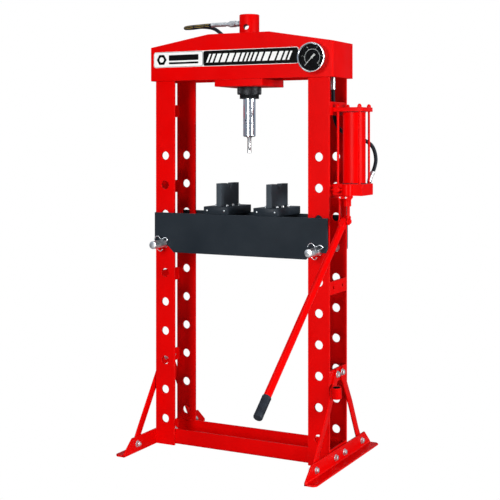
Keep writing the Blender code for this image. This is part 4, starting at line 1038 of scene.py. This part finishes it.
def build_gauge():
    """Case, dial with its print, and lens; the pointer is made after them."""
    low, high = spot("gauge_case")
    back = spot("head_front_plate")[0].y
    radius = (high.x - low.x) / 2
    centre = ((high.x + low.x) / 2, (high.z + low.z) / 2)
    front = low.y
    depth = back - front
    to_place = shift(centre[0], back, centre[1])
    cavity = radius - 0.0045
    profile = [(0, 0.0003), (radius - 0.002, 0.0003), (radius - 0.0005, 0.002),
               (radius - 0.0005, depth - 0.01), (radius, depth - 0.009), (radius, depth - 0.002),
               (radius - 0.0007, depth - 0.0006), (radius - 0.002, depth), (cavity + 0.0012, depth),
               (cavity, depth - 0.0012), (cavity, 0.004), (0, 0.004)]
    show("gauge_body", moved(turned(profile, 96), ALONG_MINUS_Y, to_place), "chrome",
         "gauge_case")
    dial_face = back - spot("gauge_dial")[0].y
    dial = turned([(0.0019, dial_face - 0.0016), (cavity - 0.0004, dial_face - 0.0016),
                   (cavity - 0.0004, dial_face), (0.0019, dial_face)], 96)
    show("gauge_face", moved(dial, ALONG_MINUS_Y, to_place), "dial", "gauge_dial")
    inner_wall = tube(cavity - 0.0009, cavity - 0.0002, dial_face, depth - 0.004, 0.0002, 96)
    show("gauge_inner_wall", moved(inner_wall, ALONG_MINUS_Y, to_place), "zinc")
    on_dial = shift(centre[0], back - dial_face + 0.00002, centre[1])
    film = 0.00025
    ticks = []
    for i in range(41):
        turn = 225 + 270 * i / 40
        outer = 0.69 if i % 8 == 0 else 0.645
        width = 0.0012 if i % 8 == 0 else 0.0006
        ticks.append(dial_tick(turn, cavity * 0.605, cavity * outer, width, film))
    for i in range(6):
        ticks.append(dial_number(str(4 * i), 225 + 270 * i / 5, cavity * 0.82, 0.006, film))
    show("gauge_marks", moved(joined(*ticks), on_dial), "marks")
    ring = dial_ring(cavity * 0.6, 0.0013, -135, 135, film)
    show("gauge_arc", moved(ring, on_dial), "arc")
    lens_back = spot("gauge_lens")[1].y
    lens = turned([(0, 0), (cavity - 0.0004, 0), (cavity - 0.0004, 0.0018), (cavity - 0.001, 0.0024),
                   (0, 0.0024)], 96)
    show("gauge_glass", moved(lens, ALONG_MINUS_Y, shift(centre[0], lens_back, centre[1])), "glass",
         "gauge_lens")
    build_pointer(centre)


def build_pointer(centre):
    """A needle that is at its rest reading, with its hub and spindle."""
    tip, tail, hub = 0.0395, 0.015, 0.0042
    outline = [(0.0006, tip), (-0.0006, tip), (-0.0017, 0.006)]
    outline += arc(0, 0, hub, 115, 235, 10)
    outline += [(-0.004, -tail), (0.004, -tail)]
    outline += arc(0, 0, hub, -55, 65, 10)
    outline.append((0.0017, 0.006))
    needle = moved(plate(outline, 0.0009, edge=0.0001), FACE_FRONT,
                   Matrix.Rotation(radians(POINTER_REST), 4, "Y"))
    cap = moved(turned([(0, 0), (0.0026, 0), (0.0026, 0.0018), (0.0018, 0.0026), (0, 0.0026)], 32),
                ALONG_MINUS_Y)
    spindle = moved(rod(0.0014, -0.008, 0.0, 0.0002, 16), ALONG_MINUS_Y)
    whole = joined(needle, cap, spindle)
    show("gauge_needle", moved(whole, shift(centre[0], NEEDLE_Y, centre[1])), "marks",
         "gauge_pointer", body="pointer")


def build_manifold():
    """The block behind the gauge that joins both hoses to it."""
    low, high = spot("gauge_manifold")
    show("manifold_block", box(low, high), "zinc", "gauge_manifold", edge=0.0015)
    stem = moved(joined(hexagon(0.02, 0.0005, 0.0065), rod(0.0082, 0.0, 0.016)), ALONG_MINUS_Y)
    gauge_low, gauge_high = spot("gauge_case")
    axis = (gauge_low.x + gauge_high.x) / 2
    stem = moved(stem, shift(axis, low.y, (gauge_low.z + gauge_high.z) / 2))
    show("gauge_stem", stem, "zinc")


# ---- Bed ----

def build_bed():
    """Two bed plates with a seat for each pin in their lower edge, and the webs between them."""
    pin_z = TOP_HOLE_Z - 3 * HOLE_PITCH
    post_x = 0.301
    reach = PIN_RADIUS + 0.0004
    for place in ("front", "rear"):
        cad = f"bed_{place}_plate"
        low, high = spot(cad)
        end_z = 0.72
        cut_x = 0.259
        right = [(cut_x, low.z), (cut_x + end_z - low.z, end_z), (post_x - reach, end_z)]
        right += arc(post_x, pin_z, reach, 180, 0, 24)
        right += [(post_x + reach, end_z), (high.x, end_z), (high.x, high.z)]
        side = moved(plate(mirrored(right), high.y - low.y, edge=0.0011), FACE_FRONT, shift(y=high.y))
        show(f"bed_side_{place}", side, "anthracite", cad, body="bed")
    for side in ("left", "right"):
        low, high = spot(f"bed_spacer_{side}")
        spacer = box(low, high)
        beads = [weld_up(x, s * (high.y - 0.0005), low.z + 0.004, high.z - 0.004)
                 for x in (low.x, high.x) for s in (-1, 1)]
        show(f"bed_web_{side}", spacer, "anthracite", f"bed_spacer_{side}", body="bed", edge=0.0008)
        show(f"bed_welds_{side}", joined(*beads), "anthracite", body="bed")


def clip_path():
    """The clip's bowed leg, its eye, the straight leg and its bent tip, in X and Z."""
    points = [(-0.027, 0.014), (-0.0245, 0.0215), (-0.017, 0.027), (-0.0085, 0.0255),
              (-0.001, 0.018), (0.007, 0.018), (0.015, 0.0225), (0.0235, 0.0215),
              (0.0275, 0.016), (0.0235, 0.011), (0.0127, 0.0059), (0.0, 0.0),
              (-0.0127, -0.0059), (-0.0175, -0.009), (-0.018, -0.0145), (-0.011, -0.0215),
              (-0.0015, -0.026), (0.005, -0.0215), (0.0065, -0.0175)]
    return smooth_path([(x, 0, z) for x, z in points], 8)


def build_pins():
    """A round pin under each end of the bed, with a spring clip through its hole."""
    for side in ("left", "right"):
        low, high = spot(f"bed_pin_{side}")
        x, z = (low.x + high.x) / 2, (low.z + high.z) / 2
        body = f"{side}_bed_pin"
        length = high.y - low.y
        profile = [(0, 0), (PIN_RADIUS - 0.0022, 0), (PIN_RADIUS - 0.0006, 0.001),
                   (PIN_RADIUS, 0.0028), (PIN_RADIUS, length - 0.0022),
                   (PIN_RADIUS - 0.0016, length), (0, length)]
        pin = moved(turned(profile, 64), ALONG_Y, shift(x, low.y, z))
        pin = show(f"support_pin_{side}", pin, "zinc", f"bed_pin_{side}", body=body)
        cut(pin, moved(rod(0.0023, -0.03, 0.03, 0.0001, 20), Matrix.Rotation(CLIP_SLOPE, 4, "Y"),
                       shift(x, CLIP_Y, z)))
        wire = moved(swept(clip_path(), 0.0014, 12), shift(x, CLIP_Y, z))
        show(f"retaining_clip_{side}", wire, "chrome", f"pin_clip_{side}", body=body)


def build_v_blocks():
    """A base with a notched upright plate let into it, on the bed."""
    for side in ("left", "right"):
        low, high = spot(f"v_block_{side}")
        body = f"{side}_v_block"
        x = (low.x + high.x) / 2
        base_top = low.z + 0.0264
        base = show(f"block_base_{side}", box((low.x, low.y, low.z), (high.x, high.y, base_top)),
                    "anthracite", f"v_block_{side}", body=body, edge=0.0012)
        cut(base, box((x - 0.0104, -0.0674, base_top - 0.006), (x + 0.0104, 0.0674, base_top + 0.01)))
        half = 0.067
        outline = mirrored([(half, base_top - 0.006), (half, high.z), (NOTCH_HALF, high.z),
                            (0.0012, high.z - NOTCH_DEPTH)])
        wall = moved(plate(outline, 0.02, edge=0.001), FACE_SIDE, shift(x - 0.01))
        # The plate's lighter paint is painted light on its faces; it is the same paint as the base.
        show(f"block_plate_{side}", wall, "anthracite_painted_light", body=body)
        beads = [weld((x + s * 0.0105, -half + 0.002, base_top), (x + s * 0.0105, half - 0.002, base_top),
                      0.0022) for s in (-1, 1)]
        show(f"block_welds_{side}", joined(*beads), "anthracite", body=body)
        screws = []
        for s in (-1, 1):
            head = turned([(0, 0), (0.0034, 0), (0.0032, 0.0012), (0.0022, 0.002), (0.0011, 0.0023),
                           (0.0009, 0.001), (0, 0.001)], 24)
            screws.append(moved(head, ALONG_MINUS_Y, shift(x + s * 0.034, low.y, low.z + 0.013)))
        for s in (-1, 1):
            for y in (-0.045, 0.0, 0.045):
                screws.append(moved(hex_bolt(0.0085, 0.005, 1.1), shift(x + s * 0.022, y, base_top)))
        show(f"block_screws_{side}", joined(*screws), "zinc", body=body)


# ---- Pump ----

def build_pump_block():
    """The valve block, whose lug carries the plunger's barrel, with its boss and gland."""
    low, high = spot("pump_block")
    top_low = spot("pump_top_plate")[0]
    front, rear = top_low.y, -top_low.y
    base = 0.911
    lug = 0.018
    reach = sqrt(lug ** 2 - (ARM_END.y - front) ** 2)
    start = degrees(acos(-reach / lug))
    outline = [(low.x, rear), (low.x, front)]
    outline += arc(ARM_END.x, ARM_END.y, lug, start, 540 - start, 28)
    outline += [(high.x, front), (high.x, rear)]
    block = moved(plate(outline, high.z - base, edge=0.0015), shift(z=base))
    barrel = moved(tube(0.0084, 0.0122, low.z, base + 0.004, 0.0008), shift(ARM_END.x, ARM_END.y))
    boss = moved(rod(0.0105, 0.0, 0.004, 0.001), ALONG_MINUS_Y,
                 shift(RELEASE_PORT[0], front + 0.0005, RELEASE_PORT[1]))
    show("valve_block", joined(block, barrel), "gloss", "pump_block")
    show("valve_block_boss", boss, "gloss")
    screw = moved(rod(0.0036, -0.001, 0.0012, 0.0004, 20), ALONG_MINUS_Y,
                  shift(0.379, front, 0.94))
    show("valve_block_set_screw", screw, "black_steel")
    gland = moved(tube(0.0081, 0.0132, base - 0.01, base - 0.002, 0.0008), shift(ARM_END.x, ARM_END.y))
    show("plunger_gland", gland, "zinc")


def build_pump_body():
    """The tank between the block and its cover, drawn together by four tie rods."""
    low, high = spot("pump_top_plate")
    radius, rod_radius = 0.0085, 0.004
    corners = [(x, s * 0.043) for x in (0.357, 0.434) for s in (-1, 1)]
    holes = [(x, y, rod_radius + 0.0003) for x, y in corners]
    top = plate(rectangle(low.x, high.x, low.y, high.y, 0.004), high.z - low.z, holes, 0.0012, 24)
    show("pump_cover", moved(top, shift(z=low.z)), "gloss", "pump_top_plate")
    tank_low, tank_high = spot("pump_reservoir")
    x = (tank_low.x + tank_high.x) / 2
    outer = (tank_high.x - tank_low.x) / 2
    seam = weld_up(x + outer * cos(1.2), outer * sin(1.2), tank_low.z + 0.004,
                   tank_high.z - 0.004, 0.0012)
    tank = moved(tube(outer - 0.003, outer, tank_low.z, tank_high.z, 0.0012, 96), shift(x))
    show("oil_tank", joined(tank, seam), "gloss", "pump_reservoir")
    seals = [moved(tube(outer - 0.0025, outer + 0.0012, z - 0.001, z + 0.001, 0.0005, 96), shift(x))
             for z in (tank_low.z + 0.0008, tank_high.z - 0.0008)]
    show("oil_tank_seals", joined(*seals), "rubber")
    rods = []
    for i, (rod_x, rod_y) in enumerate(corners):
        foot = spot(f"pump_tie_rod_{i + 1}")[0].z
        shaft = rod(rod_radius, foot, high.z + 0.001, 0.0002, 24)
        nut = high.z + 0.0002
        washer = rod(radius, nut, nut + 0.0013, 0.0003, 32)
        corner = 0.0125 / sqrt(3)
        hexes = turned([(0, nut + 0.0013), (corner, nut + 0.0013), (corner, nut + 0.006),
                        (corner * 0.88, nut + 0.007), (0, nut + 0.007)], 6)
        crown = [(r, nut + 0.0066 + z * 6 / 7) for r, z in arc(0, 0, 0.0056, 0, 75, 5)]
        dome = turned([(0.0056, nut + 0.0064)] + crown + [(0, nut + 0.0114)], 32)
        spin = Matrix.Rotation(random.uniform(0, 1), 4, "Z")
        rods.append(moved(joined(shaft, washer, hexes, dome), spin, shift(rod_x, rod_y)))
    show("tank_tie_rods", joined(*rods), "gloss", *[f"pump_tie_rod_{i + 1}" for i in range(4)])


def build_bracket():
    """The fork under the block that holds the lever's pivot pin."""
    low, high = spot("lever_bracket")
    top, boss, half, fork_top = high.z, 0.0125, 0.0068, 0.8935
    y0, z0 = LEVER_PIVOT.y, LEVER_PIVOT.z
    outline = arc(y0, z0, boss, 125, 415, 24)
    outline += [(y0 + half, fork_top), (high.y, 0.9045), (high.y, top), (low.y, top),
                (low.y, fork_top + 0.006), (y0 - half, fork_top)]
    arms = []
    for x in (low.x, high.x - 0.005):
        arm = plate(outline, 0.005, [(y0, z0, 0.0053)], 0.0008, 32)
        arms.append(moved(arm, FACE_SIDE, shift(x)))
    arms.append(box((low.x + 0.002, low.y + 0.001, top - 0.008), (high.x - 0.002, -0.0655, top)))
    screws = [moved(hex_bolt(0.005, 0.003, 1.1), ALONG_MINUS_Y,
                    shift((low.x + high.x) / 2 + s * 0.0105, low.y + 0.001, top - 0.004))
              for s in (-1, 1)]
    show("lever_fork_screws", joined(*screws), "zinc")
    show("lever_fork", joined(*arms), "gloss", "lever_bracket")
    pin_low, pin_high = spot("lever_pin")
    head = moved(rod(0.0078, 0.0, 0.0055, 0.001, 32), ALONG_MINUS_X, shift(pin_high.x, y0, z0))
    show("lever_pivot_head", head, "gloss", "lever_pin")
    whole = rod(0.005, 0.004, pin_high.x - pin_low.x, 0.0006, 32)
    whole = moved(whole, ALONG_MINUS_X, shift(pin_high.x, y0, z0))
    ring = moved(tube(0.0052, 0.0085, 0.0, 0.0011, 0.0002, 32), ALONG_X,
                 shift(low.x - 0.0012, y0, z0))
    show("lever_pivot_pin", joined(whole, ring), "zinc", "lever_pin")


def build_lever():
    """The lever's forging, with the short arm behind its pivot and the handle's stub in front."""
    half = 0.01
    arm_y, arm_z = ARM_END.y - LEVER_PIVOT.y, ARM_END.z - LEVER_PIVOT.z
    arm_turn = degrees(atan2(arm_z, arm_y))
    down = 180 + degrees(HANDLE_SLOPE)
    neck_y, neck_z = 0.022 * cos(radians(down)), 0.022 * sin(radians(down))
    outline = arc(0, 0, 0.012, arm_turn + 45, down - 60, 16)
    outline += arc(neck_y, neck_z, 0.01, down - 70, down + 70, 12)
    outline += arc(0, 0, 0.012, down + 60, arm_turn + 315, 10)
    outline += arc(arm_y, arm_z, 0.007, arm_turn - 100, arm_turn + 100, 16)
    body = plate(outline, 2 * half, [(0, 0, 0.0053)], 0.001, 32)
    body = moved(body, FACE_SIDE, shift(-half))
    stub = moved(rod(0.0085, 0.018, HANDLE_START + 0.1, 0.001), ALONG_HANDLE)
    bead = moved(swept([Vector((p[0], p[1], 0.0315)) for p in circle(0, 0, 0.0092, 40)]
                       + [Vector((0.0092, 0, 0.0315))], 0.0017, 8, 0.12), ALONG_HANDLE)
    show("lever_forging", moved(joined(body, stub, bead), TO_LEVER), "gloss", "pump_lever", body="lever")


def build_handle():
    """The tubular handle and its ribbed grip."""
    outer, inner = 0.0118, 0.0088
    end = HANDLE_START + HANDLE_LENGTH
    bar = tube(inner, outer, HANDLE_START, end, 0.0005, 64)
    show("handle_tube", moved(bar, ALONG_HANDLE, TO_LEVER), "gloss",
         "pump_handle", body="handle")
    start, radius = end - GRIP_LENGTH + 0.004, 0.014
    tip = start + GRIP_LENGTH
    profile = [(0, end + 0.0004), (outer + 0.0003, end + 0.0004), (outer + 0.0003, start),
               (radius - 0.001, start), (radius, start + 0.001), (radius, start + 0.004)]
    ribs = 12
    for i in range(ribs):
        z = start + 0.006 + (GRIP_LENGTH - 0.02) * i / ribs
        pitch = (GRIP_LENGTH - 0.02) / ribs
        profile += [(radius - 0.0012, z), (radius - 0.0012, z + pitch * 0.3),
                    (radius - 0.0002, z + pitch * 0.45), (radius - 0.0002, z + pitch * 0.85)]
    profile += [(radius, tip - 0.012), (radius, tip - 0.004), (radius - 0.0012, tip - 0.0012),
                (radius - 0.004, tip), (0, tip)]
    show("handle_rubber", moved(turned(profile, 64), ALONG_HANDLE, TO_LEVER),
         "rubber", "handle_grip", body="handle")


def build_plunger():
    """A thin push rod with the thicker plunger above it."""
    low, high = spot("pump_plunger")
    profile = [(0, low.z), (0.0034, low.z), (0.004, low.z + 0.0006), (0.004, 0.878),
               (0.0074, 0.878), (0.008, 0.8786), (0.008, high.z), (0, high.z)]
    show("plunger_rod", moved(turned(profile, 48), shift(ARM_END.x, ARM_END.y)), "chrome",
         "pump_plunger", body="plunger")


def build_release_valve():
    """The screw that lets the ram return, with its knob and cross bar."""
    low, high = spot("release_valve")
    x, z = (low.x + high.x) / 2, (low.z + high.z) / 2
    front = spot("pump_top_plate")[0].y - 0.0008
    profile = [(0, -0.008), (0.005, -0.008), (0.005, 0.012), (0.0088, 0.013), (0.0095, 0.0145),
               (0.0095, 0.0235), (0.008, 0.0255), (0, 0.0255)]
    knob = moved(turned(profile, 48), ALONG_MINUS_Y)
    bar = moved(rod(0.0025, -0.019, 0.019, 0.0008, 24), ALONG_X, shift(y=-0.019))
    show("release_screw", moved(joined(knob, bar), shift(x, front, z)), "gloss",
         "release_valve", body="release_valve")


# ---- Studio ----

def build_floor():
    """A plain white floor; it lights the object from below less than it shows to the camera."""
    material, tree, shader = started("studio_floor")
    feed(tree, shader, {"Base Color": (0.5, 0.5, 0.5, 1.0), "Roughness": 0.9,
                        "Specular IOR Level": 0.1})
    shown = node(tree, "ShaderNodeEmission", {"Color": WHITE, "Strength": 1.0})
    sight = node(tree, "ShaderNodeLightPath")
    blended(tree, sight.outputs["Is Camera Ray"], shader.outputs["BSDF"], shown.outputs["Emission"])
    bm = bmesh.new()
    bmesh.ops.create_grid(bm, x_segments=1, y_segments=1, size=60)
    mesh = bpy.data.meshes.new("floor")
    bm.to_mesh(mesh)
    bm.free()
    mesh.materials.append(material)
    floor = bpy.data.objects.new("floor", mesh)
    bpy.context.collection.objects.link(floor)
    floor.location.z = FLOOR_Z - 0.0005


def area_light(name, location, target, size, power):
    """A rectangular lamp aimed at a point; size is (width, height)."""
    light = bpy.data.lights.new(name, "AREA")
    light.shape = "RECTANGLE"
    light.size, light.size_y = size
    light.energy = power
    obj = bpy.data.objects.new(name, light)
    bpy.context.collection.objects.link(obj)
    obj.location = location
    obj.rotation_euler = (Vector(target) - Vector(location)).to_track_quat("-Z", "Y").to_euler()


def build_world():
    """White to the camera; the object itself sees a soft grey room."""
    world = bpy.data.worlds.new("studio")
    bpy.context.scene.world = world
    world.use_nodes = True
    tree = world.node_tree
    tree.nodes.clear()
    sight = node(tree, "ShaderNodeLightPath")
    where = node(tree, "ShaderNodeTexCoord").outputs["Generated"]
    split = node(tree, "ShaderNodeSeparateXYZ", {"Vector": where})
    rise = ranged(tree, split.outputs["Z"], 0.0, 1.0, -0.15, 0.75)
    dim = mixed(tree, rise, (0.015, 0.015, 0.02, 1.0), (0.16, 0.16, 0.17, 1.0))
    shiny = mixed(tree, rise, (0.2, 0.24, 0.32, 1.0), (0.62, 0.65, 0.68, 1.0))
    room = mixed(tree, sight.outputs["Is Glossy Ray"], dim, shiny)
    seen = mixed(tree, sight.outputs["Is Camera Ray"], room, WHITE)
    back = node(tree, "ShaderNodeBackground", {"Color": seen, "Strength": 1.0})
    node(tree, "ShaderNodeOutputWorld", {"Surface": back.outputs["Background"]})


def build_lights():
    """A large box in front, one at the right side with a small low one, and a weak one above."""
    area_light("front", (0.2, -4.6, 1.7), (0.0, 0.0, 0.85), (1.3, 2.2), 172)
    area_light("side", (6.5, -0.5, 1.3), (0.0, 0.0, 0.8), (1.2, 1.6), 300)
    area_light("side_low", (2.6, -1.0, 0.25), (0.3, 0.0, 0.2), (0.8, 0.4), 12)
    area_light("top", (0.0, -0.6, 3.8), (0.0, 0.0, 0.8), (2.4, 2.0), 18)


def build_camera():
    """Level, at head height to the right; the picture is shifted down as with a view camera.

    The shift holds at this place only: a camera that is moved elsewhere looks straight ahead.
    """
    data = bpy.data.cameras.new("camera")
    data.sensor_width = 36.0
    data.lens = 80.14
    data.clip_end = 200.0
    camera = bpy.data.objects.new("camera", data)
    bpy.context.collection.objects.link(camera)
    place = Vector((1.8081, -3.4943, 1.1069 + FLOOR_Z))
    camera.location = place
    camera.rotation_euler = (radians(90), 0, radians(27.327))
    bpy.context.scene.camera = camera
    curve = data.driver_add("shift_y")
    curve.modifiers.remove(curve.modifiers[0])
    curve.driver.type = "SUM"
    variable = curve.driver.variables.new()
    variable.type = "TRANSFORMS"
    variable.targets[0].id = camera
    variable.targets[0].transform_type = "LOC_X"
    for x, shift_y in (place.x - 1, 0), (place.x - 0.01, -0.226), (place.x + 0.01, 0):
        curve.keyframe_points.insert(x, shift_y).interpolation = "CONSTANT"


def build():
    build_posts()
    build_ties()
    build_base()
    build_feet()
    build_braces()
    build_holder()
    build_frame_bolts()
    build_head()
    build_mount_plate()
    build_band()
    build_cylinder()
    build_lock_ring()
    build_end_cap()
    build_rod()
    build_coupler()
    build_ram_hose()
    build_pump_hose()
    build_gauge()
    build_manifold()
    build_bed()
    build_pins()
    build_v_blocks()
    build_pump_block()
    build_pump_body()
    build_bracket()
    build_lever()
    build_handle()
    build_plunger()
    build_release_valve()
    build_floor()
    build_world()
    build_lights()
    build_camera()
    bpy.context.scene.view_settings.view_transform = "Standard"


build()
